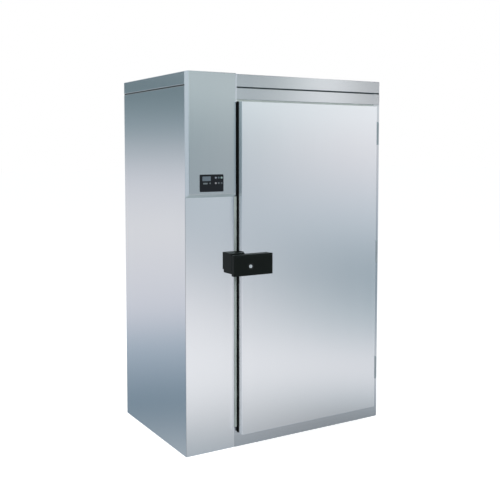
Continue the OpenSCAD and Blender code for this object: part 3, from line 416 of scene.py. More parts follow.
x, y, z = box_of("back_panel")
back_y = y[1]
drain_x, drain_y = box_of("drain_pipe")[:2]
vent_x, vent_y, vent_z = box_of("pressure_vent")
vent_at = (mid(vent_x), mid(vent_z))
drain_at = (mid(drain_x), 0.142)
back_wall = shape("back_wall", (prism, [(x[0] + joint, y[1]), (x[0] + mitre, y[0]),
                                        (x[1] - mitre, y[0]), (x[1] - joint, y[1])],
                                "z", inset(z, 0, joint), fold))
fit(cut_from(back_wall, (rod, "y", drain_at, 0.0123, inset(y, -past)),
             (rod, "y", vent_at, 0.0403, inset(y, -past))),
    wall_steel, ["back_panel"])

x, y, z = box_of("roof_panel")
roof_top = z[1]
groove_depth, groove_top = 0.006, z[0] + 0.007
roof_joint = (inset(x, 0.0015), inset(y, 0.0015), (z[0], groove_top))
gland_x, gland_y, gland_z = box_of("cable_gland")
gland_at = (mid(gland_x), mid(gland_y))
pipe_x, suction_y, liquid_y = mid(box_of("refrigerant_lines")[0]), 0.307, 0.257
roof = shape("roof", (block, x, y, (groove_top, z[1]), 0.0025, 3),
             (block, inset(x, groove_depth), inset(y, groove_depth), (z[0], groove_top + 0.004)))
fit(cut_from(roof, *((rod, "z", hole_at, radius, inset(z, -past)) for hole_at, radius in (
    ((pipe_x, suction_y), 0.0113), ((pipe_x, liquid_y), 0.0063), (gland_at, 0.0103)))),
    roof_steel, ["roof_panel"])

x, y, z = box_of("column_front_panel")
column = shape("column_front", (prism, [(x[0] + joint, y[0]), (x[1] - joint, y[0]),
                                        (x[1] - joint, y[0] + wall), (x[0] + mitre, y[0] + wall)],
                                "z", inset(z, 0, joint), fold),
               (block, inset(x, mitre, joint), inset(y, wall, 0), (box_z[0] - 0.02, z[1] - joint), fold))
fit(cut_from(column, (block, inset(box_x, -0.0003), (y[0] - past, box_y[1]), inset(box_z, -0.0003))),
    wall_steel, ["column_front_panel"])

x, y, z = box_of("front_lintel")
strip_top = z[0]
fit(shape("strip_over_door", (block, inset(x, joint, 0), y, inset(z, 0, joint), fold)),
    roof_steel, ["front_lintel"])
# the strip beside the door takes the darker stainless, a painted shade of the door's shadow on it
x, y, z = box_of("right_jamb")
fit(shape("right_front_strip", (block, inset(x, joint, 0), y, (z[0], strip_top), fold)),
    shaded_strip_steel, ["right_jamb"])
fit(shape("right_front_strip_head", (block, x, y, (strip_top, z[1] - joint), 0.0004)),
    roof_steel)

x, y, z = box_of("floor_panel")
fit(shape("floor_slab", (block, inset(x, joint), inset(y, wall, joint), z, fold)),
    wall_steel, ["floor_panel"])
# the strip under the door takes the darker stainless, a painted shade of the shadow gap under the door
fit(shape("floor_front_strip", (block, inset(frame_x, -0.0017), (y[0] + 0.0001, y[0] + wall), z, 0.0003)),
    shaded_strip_steel)


# ---- Doorway: a stepped plastic frame profile runs up both sides and over the top, screwed into
# the panels' edges. Silicone seals the roof, and a thick stainless wear plate covers the threshold
# that the trolley rolls over.

def moulded_plastic(name, tone, rough, grain=0.0, shine=0.5):
    """Moulded plastic: an even colour, with the fine grain that an eroded mould leaves, drawn
    about 1 mm across, and slight patches of shine where hands wear it. Shine is 0.5 for a plain
    surface and less for a matt one."""
    finish, tree, place = new_finish(name)
    pores, patches = (add(tree, "ShaderNodeTexNoise", {
        "Vector": place.outputs["Object"], "Scale": scale, "Detail": detail})
        for scale, detail in ((900.0, 2.0), (14.0, 3.0)))
    gloss = add(tree, "ShaderNodeMapRange", {0: patches, 3: rough - 0.05, 4: rough + 0.05})
    relief = add(tree, "ShaderNodeBump", {"Strength": grain, "Distance": 0.0003, "Height": pores})
    skin = add(tree, "ShaderNodeBsdfPrincipled", {
        "IOR": 1.5, "Specular IOR Level": shine, "Roughness": gloss, "Normal": relief,
        "Base Color": add(tree, "ShaderNodeValToRGB", {
            0: patches, "stops": shades(tone, (0.3, 0.9), (0.7, 1.08))})})
    add(tree, "ShaderNodeOutputMaterial", {0: skin})
    return finish


def pattern(name, inputs):
    """Starts a Geometry Nodes tree with named inputs. Returns it and its input sockets."""
    tree = bpy.data.node_groups.new(name, "GeometryNodeTree")
    for label, (kind, value) in inputs.items():
        socket = tree.interface.new_socket(label, in_out="INPUT", socket_type="NodeSocket" + kind)
        if value is not None:
            socket.default_value = value
    tree.interface.new_socket("Made", in_out="OUTPUT", socket_type="NodeSocketGeometry")
    return tree, add(tree, "NodeGroupInput").outputs


def close_pattern(tree, geometry, finish):
    """Ends the tree with real geometry that has its finish."""
    real = add(tree, "GeometryNodeRealizeInstances", {0: geometry})
    painted = add(tree, "GeometryNodeSetMaterial", {"Geometry": real, "Material": finish})
    add(tree, "NodeGroupOutput", {0: painted})


def grow(name, tree, values, points=()):
    """Makes a plain mesh from a tree, on the given points if it wants any."""
    mesh = bpy.data.meshes.new(name)
    mesh.from_pydata([tuple(p) for p in points], [], [])
    made = bpy.data.objects.new(name, mesh)
    scene.collection.objects.link(made)
    maker = made.modifiers.new(name, "NODES")
    maker.node_group = tree
    for item in tree.interface.items_tree:
        if item.in_out == "INPUT" and item.name in values:
            maker[item.identifier] = values[item.name]
    plain_mesh(made)
    shade_flat_past(made.data, 35)
    return made


# A screw head: a low dome with a cross recess, set at each point and turned to face outwards.
screws, given = pattern("screw_heads", {
    "Points": ("Geometry", None), "Head": ("Object", None), "Turn": ("Rotation", None),
    "Size": ("Float", 1.0), "Finish": ("Material", None)})
head = add(screws, "GeometryNodeObjectInfo", {"transform_space": "ORIGINAL", "Object": given["Head"]})
close_pattern(screws, add(screws, "GeometryNodeInstanceOnPoints", {
    "Points": given["Points"], "Instance": head.outputs["Geometry"], "Rotation": given["Turn"],
    "Scale": given["Size"]}), given["Finish"])


def screw_head(radius, height):
    """One head that faces up, with its recess, as the pattern's model."""
    arm, wide = radius * 0.55, radius * 0.09
    model = shape("screw_model", (lathe, [
        (0, -0.0006), (radius, -0.0006), (radius, height * 0.35), (radius * 0.82, height * 0.8),
        (radius * 0.5, height * 0.97), (0, height)], "z", (0, 0), 20))
    return cut_from(model, (block, (-arm, arm), (-wide, wide), (height * 0.45, height * 2)),
                    (block, (-wide, wide), (-arm, arm), (height * 0.46, height * 2)))


facing = {"up": (0, 0, 0), "front": (math.pi / 2, 0, 0), "left": (0, -math.pi / 2, 0),
          "right": (0, math.pi / 2, 0), "down": (math.pi, 0, 0)}
screw_steel = brushed_stainless("zinc_nickel_screw_heads", "#b9bec0", 0.32, 0.0, (900, 900, 900))


def screw_on(name, points, way, radius, height, stands_for=(), body="cabinet",
             finish=screw_steel):
    """Sets a row of screws that face one way."""
    model = screw_head(radius, height)
    row = grow(name, screws, {"Head": model, "Turn": facing[way], "Finish": finish}, points)
    bpy.data.objects.remove(model)
    ride_with(row, stands_for, body)


frame_plastic = moulded_plastic("grey_pvc_frame_profile", "#b0bcb9", 0.42)
side_x, inner_x = inset(frame_x, joint), inset(frame_x, 0.058)
inner_top = frame_z[1] - 0.058
doorway = shape("door_frame_profile", (prism, [
    (side_x[0], frame_z[0]), (inner_x[0], frame_z[0]), (inner_x[0], inner_top),
    (inner_x[1], inner_top), (inner_x[1], frame_z[0]), (side_x[1], frame_z[0]),
    (side_x[1], frame_z[1] - joint), (side_x[0], frame_z[1] - joint)],
    "y", inset(frame_y, 0.0004, 0), 0.0015))
# the groove that holds the heating wire against frost, all round near the opening
near, far = 0.009, 0.012
groove_y, groove_z = (frame_y[0] - past, frame_y[0] + 0.003), (frame_z[0] - past, inner_top + far)
fit(cut_from(doorway, (block, (inner_x[0] - far, inner_x[0] - near), groove_y, groove_z),
             (block, (inner_x[1] + near, inner_x[1] + far), groove_y, groove_z),
             (block, inset(inner_x, -far), groove_y, (inner_top + near, inner_top + far))),
    frame_plastic, ["door_frame"])

# silicone closes the groove under the roof; its dark grey is also a painted shade of the groove
groove_sealant_and_shade = moulded_plastic("dark_grey_silicone_seal", "#2e3739", 0.6, 0.1, 0.2)
bead = 0.004
x, y, z = roof_joint
fit(shape("roof_joint_seal", *((block, along_x, along_y, z, 0.0005) for along_x, along_y in (
    (x, (y[0], y[0] + bead)), (x, (y[1] - bead, y[1])),
    ((x[0], x[0] + bead), inset(y, bead)), ((x[1] - bead, x[1]), inset(y, bead))))),
    groove_sealant_and_shade)

x, y, z = box_of("threshold_plate")
fit(shape("wear_plate", (block, inset(x, joint), inset(y, 0.0004, 0), z, 0.0008)),
    lining_steel, ["threshold_plate"])
screw_on("wear_plate_screws", [(at, y[0] + 0.03, z[1]) for at in spread(inset(x, 0.04), 6)],
         "up", 0.0045, 0.0009)


# ---- Control cover: one stainless sheet folded into a shallow tray, with bevelled sides and
# lower edge and a lip over the roof, held by screws in the lip. Its stainless is given a darker
# tone than the door's, a painted shade that stands in for the darker reflection the cover shows.

def thicken(sheet, gauge):
    """Gives a thin sheet its gauge, inwards."""
    grown = sheet.modifiers.new("gauge", "SOLIDIFY")
    grown.thickness = gauge
    grown.offset = -1
    return plain_mesh(sheet)


def bend_edges(form, radius, steps):
    """Rounds the folds between a sheet's faces."""
    folds = [e for e in form.edges if len(e.link_faces) == 2]
    bmesh.ops.bevel(form, geom=folds, offset=radius, segments=steps, profile=0.5, affect="EDGES")
    bmesh.ops.recalc_face_normals(form, faces=form.faces[:])


# painted shade: the cover's stainless is toned darker than the door's
cover_steel_painted_shade = brushed_stainless("brushed_stainless_cover", "#bac0c2", 0.20, front_share=0.6)
x, y, z = box_of("control_cover")
depth, thick = 0.018, 0.002
cover_face = y[0]
face_x, wall_y = inset(x, depth), y[0] + depth
form = bmesh.new()
corner = {key: form.verts.new(place) for key, place in {
    "face_bl": (face_x[0], y[0], z[0] + depth), "face_br": (face_x[1], y[0], z[0] + depth),
    "face_tr": (face_x[1], y[0], z[1]), "face_tl": (face_x[0], y[0], z[1]),
    "wall_bl": (x[0], wall_y, z[0]), "wall_br": (x[1], wall_y, z[0]),
    "wall_tr": (x[1], wall_y, z[1] - thick), "wall_tl": (x[0], wall_y, z[1] - thick),
    "lip_l": (face_x[0], y[1], z[1]), "lip_r": (face_x[1], y[1], z[1])}.items()}
for keys in (("face_bl", "face_br", "face_tr", "face_tl"), ("wall_bl", "face_bl", "face_tl", "wall_tl"),
             ("face_br", "wall_br", "wall_tr", "face_tr"), ("wall_bl", "wall_br", "face_br", "face_bl"),
             ("face_tl", "face_tr", "lip_r", "lip_l")):
    form.faces.new([corner[key] for key in keys])
bend_edges(form, 0.003, 3)
cover = thicken(object_from("control_cover_sheet", form), thick)
display_x, display_y, display_z = box_of("display_case")
fit(cut_from(cover, (block, inset(display_x, 0.0037), (y[0] - past, y[0] + past),
                     inset(display_z, 0.0037))),
    cover_steel_painted_shade, ["control_cover"])
# it takes no light from the narrow gap beside the door, which a wide studio would fill
cover.visible_shadow = False
cover.visible_diffuse = False
lip_x, lip_y = box_of("cover_screws")[:2]
screw_on("cover_lip_screws", [(at, mid(lip_y), z[1]) for at in spread(inset(lip_x, 0.005), 3)],
         "up", 0.005, 0.0022, ["cover_screws"])


# ---- Display: a moulded black housing clipped into the cover from the front. It has a window
# over a grey read-out, two printed marks and six push keys with soft corners.

def arc(centre, reach, start, stop, steps):
    """Points along part of an ellipse, from one angle in degrees to another."""
    angles = [math.radians(angle) for angle in spread((start, stop), steps + 1)]
    return [(centre[0] + reach[0] * math.cos(t), centre[1] + reach[1] * math.sin(t)) for t in angles]


def pad(form, a, b, radius, axis, span, edge=0.0, steps=2):
    """Adds a plate with round corners and softened rims."""
    (a0, a1), (b0, b1) = inset(a, radius), inset(b, radius)
    outline = []
    for k, centre in enumerate(((a1, b1), (a0, b1), (a0, b0), (a1, b0))):
        outline += arc(centre, (radius, radius), 90 * k, 90 * k + 90, 5)
    prism(form, outline, axis, span, edge, steps, True)


display_black = moulded_plastic("black_abs_display_housing", "#0d1117", 0.36, 0.2, 0.22)
read_out = moulded_plastic("grey_read_out_window", "#5c6872", 0.16)
mark_grey = moulded_plastic("grey_printed_marks", "#5d676b", 0.5)
key_tones = {"key_1": "#7b828e", "key_2": "#4a5a60", "key_3": "#87a09f",
             "key_4": "#85868a", "key_5": "#4b5257", "key_6": "#3f464b"}
key_skirt, key_play = 0.001, 0.0003
face_y = display_y[0]
window_x, window_y, window_z = box_of("display_window")
openings = []
for key in key_tones:
    x, y, z = box_of(key)
    openings.append((block, inset(x, key_skirt - key_play), (face_y - past, face_y + 0.0045),
                     inset(z, key_skirt - key_play)))
housing = shape("display_housing",
                (pad, display_x, display_z, 0.005, "y", (face_y, cover_face - 0.0001), 0.0009),
                (block, inset(display_x, 0.004), (cover_face - 0.0005, display_y[1]),
                 inset(display_z, 0.004), 0.001))
fit(cut_from(housing, (block, inset(display_x, 0.0055), inset(display_y, 0.004, 0.0015),
                       inset(display_z, 0.0055)),
             (pad, inset(window_x, -0.00015), inset(window_z, -0.00015), 0.002, "y",
              (face_y - past, face_y + 0.001)), *openings),
    display_black, ["display_case"])
fit(shape("read_out_window", (pad, window_x, window_z, 0.0019, "y", window_y, 0.0002)),
    read_out, ["display_window"])

# the marks lie 0.12 mm proud of the housing: a bar and a dot under the window
proud, sunk, dot = -0.00012, 0.0002, 0.0042
left, low = display_x[0], display_z[0]
fit(shape("printed_marks", (pad, (left + 0.020, left + 0.050), (low + 0.0435, low + 0.0520), 0.0041,
                            "y", (face_y + proud, face_y + sunk)),
          (lathe, [(0, proud), (dot, proud), (dot, sunk), (0, sunk)], "y",
           (left + 0.065, face_y, low + 0.0485), 24)),
    mark_grey)

for key, tone in key_tones.items():
    x, y, z = box_of(key)
    cap = moulded_plastic("push_key_plastic_" + key[-1], tone, 0.4, 0.15)
    fit(shape("push_" + key, (pad, inset(x, key_skirt), inset(z, key_skirt), 0.0022, "y",
                              inset(y, 0, 0.0015), 0.0007, 3),
              (pad, x, z, 0.0015, "y", (y[1] - 0.0016, y[1]))),
        cap, [key], key + "_cap")


# ---- Door: a pan of folded stainless sheet on foam, with a black plastic profile round its back
# that covers the sheet's cut edge and carries a magnetic gasket. The part that reaches into the
# doorway is clad in lining sheet.

def upright_rectangle(form, x, z, y, drawn_in=0.0):
    """The corners of a rectangle that faces front, drawn in all round."""
    (x0, x1), (z0, z1) = inset(x, drawn_in), inset(z, drawn_in)
    return [form.verts.new(place) for place in ((x0, y, z0), (x1, y, z0), (x1, y, z1), (x0, y, z1))]


def folded_pan(name, x, y, z, bend, gauge, flange=0.0):
    """A sheet folded back on four sides, with its returns if it has any: closed at the first y."""
    form = bmesh.new()
    rings = [upright_rectangle(form, x, z, at, drawn_in)
             for at, drawn_in in ((y[0], 0.0), (y[1], 0.0), (y[1], flange))[:3 if flange else 2]]
    form.faces.new(rings[0])
    skin_between(form, rings)
    bmesh.ops.recalc_face_normals(form, faces=form.faces[:])
    bend_edges(form, bend, 4)
    facing_in = sum(f.normal.y * f.calc_area() for f in form.faces
                    if abs(f.calc_center_median().y - y[0]) < 1e-5)
    if facing_in * (y[1] - y[0]) > 0:
        bmesh.ops.reverse_faces(form, faces=form.faces[:])
    return thicken(object_from(name, form), gauge)


def mitred_ring(form, outer, inner, section):
    """Adds a profile run round a rectangle with mitred corners. Each point of its section is
    (how far in from the outer rectangle or, if negative, out from the inner one, y)."""
    loops = [upright_rectangle(form, *(outer if drawn_in >= 0 else inner), y, drawn_in)
             for drawn_in, y in section]
    bmesh.ops.recalc_face_normals(form, faces=skin_between(form, loops + loops[:1]))


def dress(node, finish):
    """Gives a CAD node that keeps its shape its finish."""
    nodes[node].data.materials.clear()
    nodes[node].data.materials.append(finish)


door_steel = brushed_stainless("brushed_stainless_door", "#dfe2e5", 0.20)
sheet_gauge = 0.0012
door_x, door_y, door_z = box_of("door_outer_skin")
plug_x, plug_y, plug_z = box_of("door_inner_liner")
rod_x, rod_y, rod_z = box_of("inside_release")
rod_at, rod_bore = (mid(rod_x), mid(rod_z)), 0.0083
bore = (rod, "y", rod_at, rod_bore, (door_y[0] - 0.05, plug_y[1] + past))
pan = folded_pan("door_pan", door_x, door_y, door_z, 0.0022, sheet_gauge, 0.012)
fit(cut_from(pan, bore), door_steel, ["door_outer_skin"], "door")
liner = folded_pan("door_liner", plug_x, plug_y[::-1], plug_z, 0.004, sheet_gauge)
fit(cut_from(liner, bore), lining_steel, ["door_inner_liner"], "door")
dress("door_foam_core", moulded_plastic("rigid_polyurethane_foam", "#ddd3ac", 0.85, 1.0))

profile_black = moulded_plastic("black_pvc_edge_profile", "#08090a", 0.5, 0.25, 0.15)
x, (front, back), z = box_of("door_edge_profile")
fit(shape("door_edge_profile_ring", (mitred_ring, (x, z), (plug_x, plug_z), [
    (0.0025, front), (0.0, front + 0.0025), (0.0, front + 0.0045), (0.0014, front + 0.0052),
    (0.0014, front + 0.0068), (0.0, front + 0.0075), (0.0, back - 0.0022), (0.0022, back),
    (0.0045, back), (0.0055, back - 0.0018), (0.0195, back - 0.0018), (0.0205, back),
    (-0.0012, back), (-0.0002, back - 0.0012), (-0.0002, front)]), smooth=25),
    profile_black, ["door_edge_profile"], "door")

# a foot, a bellows and a soft head that holds the magnet: half the section, from its outer edge in
gasket_black = moulded_plastic("black_magnetic_gasket", "#060707", 0.6, 0.35, 0.12)
x, (front, back), z = box_of("door_gasket")
gasket_width = 0.020
inner_loop = (inset(x, gasket_width), inset(z, gasket_width))
half = [(0.0060, 0.0), (0.0048, 0.0008), (0.0050, 0.0022), (0.0020, 0.0034), (0.0008, 0.0046),
        (0.0024, 0.0056), (0.0042, 0.0066), (0.0030, 0.0078), (0.0008, 0.0086), (0.0, 0.0098),
        (0.0004, 0.0110), (0.0016, 0.0117)]
section = half + [(gasket_width - u, v) for u, v in reversed(half)]
fit(shape("door_gasket_ring", (mitred_ring, (x, z), inner_loop, [(u, front + v) for u, v in section]),
          smooth=50), gasket_black, ["door_gasket"], "door")
# the gasket's magnets close on a black steel strip let into the frame's face; where it shows round the
# gasket's foot it is a painted shadow
reach, strip_y = -0.004, (frame_y[0] + 0.0001, frame_y[0] + 0.0008)
fit(shape("gasket_contact_strip", (mitred_ring, (inset(x, reach), inset(z, reach)), inner_loop, [
    (0.0, strip_y[0]), (0.0, strip_y[1]), (-0.0001, strip_y[1]), (-0.0001, strip_y[0])])),
    gasket_black)


# ---- Hinges: three die-cast lift-off hinges, satin plated. A leaf on the cabinet carries the lower
# knuckle and its pin, and a leaf on the door's edge the upper one with a domed end.

hinge_satin = brushed_stainless("satin_plated_hinge_castings", "#9aa3a6", 0.34, 0.0, (120, 120, 120))
zinc_steel = brushed_stainless("zinc_plated_steel", "#c3c6c4", 0.34, 0.0, (60, 60, 60))
hinge_x, hinge_y = 0.643, -0.498
knuckle, bar, pin = 0.011, 0.0055, 0.00545
leaf_foot, dome_base, dome_top = 0.065, 0.071, 0.082
leaf_y, leaf_z = box_of("hinge_frame_leaves")[1:]
door_leaf_x, door_leaf_y, door_leaf_z = box_of("hinge_door_leaves")
cabinet_leaves, door_leaves, pins, front_screws = [], [], [], []
for line in spread((leaf_z[0] + leaf_foot, door_leaf_z[1] - dome_top), 3):
    hinge_at = (hinge_x, hinge_y, line)
    cabinet_leaves += [
        (block, (hinge_x + 0.002, hinge_x + 0.042), (leaf_y[1] - 0.006, leaf_y[1]),
         (line - leaf_foot, line + 0.062), 0.0015, 3),
        (block, (hinge_x + 0.0035, hinge_x + 0.014), (hinge_y - 0.001, leaf_y[1] - 0.004),
         (line - leaf_foot, line), 0.0015),
        (lathe, [(bar, -0.055), (0.0035, -0.055), (0.0035, -0.0645), (0.0085, -0.065), (0.0095, -0.064),
                 (0.0095, -0.001), (0.0087, 0.0), (bar, 0.0)], "z", hinge_at, 32)]
    door_leaves += [
        (lathe, [(bar, 0.061), (bar, 0.0003), (0.0102, 0.0003), (knuckle, 0.0012)] +
         arc((0, dome_base), (knuckle, knuckle), 0, 78.75, 7) + [(0.0004, dome_top), (0.0004, 0.061)],
         "z", hinge_at, 32),
        (block, (door_leaf_x[0], hinge_x - 0.004), (hinge_y, door_leaf_y[1]),
         (line + 0.0003, line + dome_base), 0.0012)]
    pins.append((rod, "z", hinge_at, pin, (-0.055, 0.060)))
    front_screws += [(hinge_x + 0.028, leaf_y[1] - 0.006, line + rise) for rise in (-0.05, -0.002, 0.047)]
fit(shape("cabinet_hinge_leaves", *cabinet_leaves), hinge_satin,
    ["hinge_frame_leaves"])
fit(shape("door_hinge_leaves", *door_leaves), hinge_satin, ["hinge_door_leaves"],
    "door")
fit(shape("hinge_pin_bars", *pins), zinc_steel, ["hinge_pins"])
screw_on("hinge_screws", front_screws, "front", 0.0045, 0.0016, finish=zinc_steel)


# ---- Latch: a keeper screwed to the column, a case on the door with the bolt, and one hollow
# lever over both that turns about a pin at its right end. All are die-cast and coated satin
# black. The key lock in the lever is chromed.

def soften(piece, width, angle=35):
    """Rounds a piece's sharp edges."""
    rounder = piece.modifiers.new("rounder", "BEVEL")
    rounder.width = width
    rounder.segments = 3
    rounder.limit_method = "ANGLE"
    rounder.angle_limit = math.radians(angle)
    rounder.use_clamp_overlap = True
    plain_mesh(piece)
    shade_flat_past(piece.data, 40)
    return piece


coated_black = moulded_plastic("black_coated_die_casting", "#070d0b", 0.42, 0.5, 0.12)
keeper_x, keeper_y, keeper_z = box_of("latch_keeper")
case_x, _, case_z = box_of("latch_case")
lever_x, lever_y, lever_z = box_of("latch_lever")
bolt_x, bolt_y, bolt_z = box_of("latch_bolt")
lock_x, lock_y, lock_z = box_of("lock_cylinder")
front_y, latch_z = keeper_y[0], mid(lever_z)
lever_end = (lever_y[1] - lever_y[0]) / 2
pivot_x, pivot_y = pivot = (lever_x[1] - lever_end, mid(lever_y))
lock_at = (mid(lock_x), mid(lock_z))
boss, lever_wall = 0.009, 0.004

keeper = soften(cut_from(
    shape("latch_keeper_block", (block, keeper_x, keeper_y, keeper_z)),
    (block, (keeper_x[0] - past, keeper_x[0] + 0.014), (keeper_y[1] - 0.012, keeper_y[1] + past),
     (keeper_z[0] - past, keeper_z[0] + 0.017))), 0.0022)
fit(cut_from(keeper, (block, (keeper_x[1] - 0.030, keeper_x[1] + past),
                      (keeper_y[0] - past, bolt_y[1] + 0.006), inset(bolt_z, -0.004))),
    coated_black, ["latch_keeper"])

case = shape("latch_case_block", (block, case_x, (front_y, door_y[0]), inset(lever_z, 0.002), 0.0018, 3))
fit(cut_from(case, (block, (case_x[0] - past, bolt_x[1] + 0.0243), inset(bolt_y, -0.0003),
                    inset(bolt_z, -0.0003)),
             (rod, "y", rod_at, rod_bore, (front_y - past, door_y[0] + past))),
    coated_black, ["latch_case"], "door")
fit(shape("latch_case_tab", (block, (case_x[0], door_x[0]), (door_y[0] - 0.022, door_y[1]),
                             (lever_z[0] + 0.002, case_z[1]), 0.0009)),
    coated_black, body="door")
boss_block = shape("latch_case_boss", (prism, [
    (pivot_x - boss, front_y + 0.001), (pivot_x - boss, pivot_y), *arc(pivot, (boss, boss), 195, 345, 10),
    (pivot_x + boss, pivot_y), (pivot_x + boss, front_y + 0.001)],
    "z", (latch_z - 0.022, latch_z + 0.022), 0.0008, 2, True))
fit(cut_from(boss_block, (rod, "z", pivot, 0.004, (latch_z - 0.05, latch_z + 0.05))),
    coated_black, body="door")
fit(shape("lever_pin_bar", (rod, "z", pivot, 0.00395, inset(lever_z, 0.001))),
    zinc_steel, ["lever_pin"], "door")

# the lever is cast round at its pivot, chamfered along its top, and hollow behind
lever = shape("latch_lever_shell", (prism, [
    (lever_x[0], lever_y[0]), (pivot_x, lever_y[0]), *arc(pivot, (lever_end, lever_end), -81, 81, 18),
    (pivot_x, lever_y[1]), (lever_x[0], lever_y[1])], "z", lever_z))
cut_from(lever, (prism, [(lever_y[0] - 0.011, lever_z[1] - 0.020), (lever_y[0] + 0.020, lever_z[1] + 0.011),
                         (lever_y[0] - 0.011, lever_z[1] + 0.020)], "x", inset(lever_x, -past)))
soften(lever, 0.0020, 20)
cut_from(lever, (block, (lever_x[0] + lever_wall, pivot_x - boss - lever_wall),
                 (lever_y[0] + lever_wall, lever_y[1] + past), inset(lever_z, lever_wall, 0.009)),
         (rod, "y", lock_at, 0.01005, (lever_y[0] - past, lever_y[0] + 0.014)))
boss_room = (latch_z - 0.023, latch_z + 0.023)
cut_from(lever, (rod, "z", pivot, boss + 0.001, boss_room),
         (block, (pivot_x - boss - 0.005, pivot_x + 0.02), (pivot_y - 0.001, lever_y[1] + past), boss_room))
fit(cut_from(lever, (rod, "z", pivot, 0.00405, inset(lever_z, -past))),
    coated_black, ["latch_lever"], "lever")

lock_ring = moulded_plastic("black_lock_surround", "#0b0f0e", 0.3, 0.1, 0.2)
fit(shape("lock_surround", (lathe, [
    (0.0102, 0.0005), (0.0102, -0.0009), (0.0110, -0.0012), (0.0185, -0.0008), (0.0195, 0.0),
    (0.0195, 0.0005)], "y", (lock_at[0], lever_y[0], lock_at[1]), 40)),
    lock_ring, body="lever")
lock_chrome = brushed_stainless("satin_chromed_lock", "#c9ced0", 0.24, 0.0, (500, 500, 500))
lock_face, collar_y = lock_y[0], lever_y[0] + 0.0043
barrel = shape("lock_barrel", (lathe, [
    (0, lock_y[1]), (0.014, lock_y[1]), (0.014, collar_y), (0.0100, collar_y), (0.0100, lock_face + 0.0009),
    (0.0092, lock_face), (0.0070, lock_face), (0.0066, lock_face + 0.0004), (0, lock_face + 0.0004)],
    "y", lock_at, 40))
keyway = (block, (lock_at[0] - 0.001, lock_at[0] + 0.001), (lock_face - past, lock_face + 0.004),
          (lock_at[1] - 0.0045, lock_at[1] + 0.0045))
fit(cut_from(barrel, keyway), lock_chrome, ["lock_cylinder"], "lock")

bevel = 0.006
fit(shape("latch_bolt_bar", (prism, [
    (bolt_x[0] + bevel, bolt_y[0]), (bolt_x[1], bolt_y[0]), (bolt_x[1], bolt_y[1]), (bolt_x[0], bolt_y[1]),
    (bolt_x[0], bolt_y[0] + bevel)], "z", bolt_z, 0.0008)),
    zinc_steel, ["latch_bolt"], "bolt")
knob_y = rod_y[1] - 0.012
fit(shape("inside_release_knob", (rod, "y", rod_at, 0.008, (rod_y[0], knob_y + 0.002), 0.001), (lathe, [
    (0, rod_y[1]), (0.016, rod_y[1]), (0.024, rod_y[1] - 0.0012), (0.0285, rod_y[1] - 0.004),
    (0.030, knob_y + 0.005), (0.029, knob_y + 0.0015), (0.026, knob_y), (0, knob_y)], "y", rod_at)),
    coated_black, ["inside_release"], "release")

# the broad studio light drowns the latch's reflection in the steel round it
for name in ("latch_keeper_block", "latch_case_block", "latch_case_tab", "latch_case_boss", "lever_pin_bar",
             "latch_lever_shell", "lock_surround", "lock_barrel", "latch_bolt_bar"):
    bpy.data.objects[name].visible_glossy = False


# ---- Chamber fittings: stainless bumper rails that keep the trolley off the walls, a lamp with a
# ribbed opal cover, a door switch over the doorway, and a vent through the back wall that lets air
# in and out as the chamber cools.

x, y, z = box_of("bumper_rails")
rail_thick, rail_half, rail_slope = 0.024, 0.050, 0.006


def rail_section(wall_at, middle):
    """A rail on a wall, with sloping edges that shed water."""
    low, high, face = middle - rail_half, middle + rail_half, wall_at - rail_thick
    return [(wall_at, low), (wall_at, high), (face, high - rail_slope), (face, low + rail_slope)]


rails, right_points, back_points = [], [], []
for middle in (z[0] + rail_half, z[1] - rail_half):
    rails += [(prism, rail_section(x[1], middle)[::-1], "y", inset(y, 0, 0.044), 0.0035, 3),
              (prism, rail_section(y[1], middle), "x", inset(x, 0, 0.040), 0.0035, 3)]
    for level in (middle - 0.025, middle + 0.025):
        right_points += [(x[1] - rail_thick, y[0] + 0.05 + i * 0.123, level) for i in range(5)]
        back_points += [(x[0] + 0.05 + i * 0.149, y[1] - rail_thick, level) for i in range(6)]
fit(shape("trolley_bumper_rails", *rails), lining_steel, ["bumper_rails"])
screw_on("right_rail_screws", right_points, "left", 0.005, 0.0014)
screw_on("back_rail_screws", back_points, "front", 0.005, 0.0014)

white_plastic = moulded_plastic("white_polypropylene", "#e6e7e3", 0.42, 0.3)
opal_cover = moulded_plastic("opal_lamp_cover", "#f3f3ee", 0.2, 0.05)
x, y, z = box_of("light_base")
fit(shape("lamp_base", (pad, x, y, 0.010, "z", z, 0.0025, 3)), white_plastic, ["light_base"])
x, y, z = box_of("light_lens")
ribs, end_round, half_width = 68, 0.012, (y[1] - y[0]) / 2
form = bmesh.new()
sections = []
for i, along in enumerate(spread(x, 2 * ribs + 1)):
    from_end = min(along - x[0], x[1] - along)
    swell = math.sqrt(max(0.0, 1 - (1 - min(1.0, from_end / end_round)) ** 2))
    drop = (z[1] - z[0]) * (0.35 + 0.65 * swell) * (1.0 if i % 2 else 0.965)
    sections.append([form.verts.new((along, mid(y) - half_width * math.cos(t) * (0.97 + 0.03 * swell),
                                     z[1] - drop * math.sin(t) ** 0.6))
                     for t in spread((0, math.pi), 17)])
skin_between(form, sections)
form.faces.new(sections[0])
form.faces.new(sections[-1][::-1])
bmesh.ops.recalc_face_normals(form, faces=form.faces[:])
fit(object_from("lamp_cover", form, 50), opal_cover, ["light_lens"])

x, y, z = box_of("door_sensor")
fit(shape("door_switch", (block, x, y, z, 0.0018, 3),
          (block, inset(x, 0.018), inset(y, 0.003), (z[0], z[0] + 0.002))),
    white_plastic, ["door_sensor"])
screw_on("door_switch_screws", [(at, mid(y), z[0]) for at in inset(x, 0.009)], "down", 0.003, 0.0003)

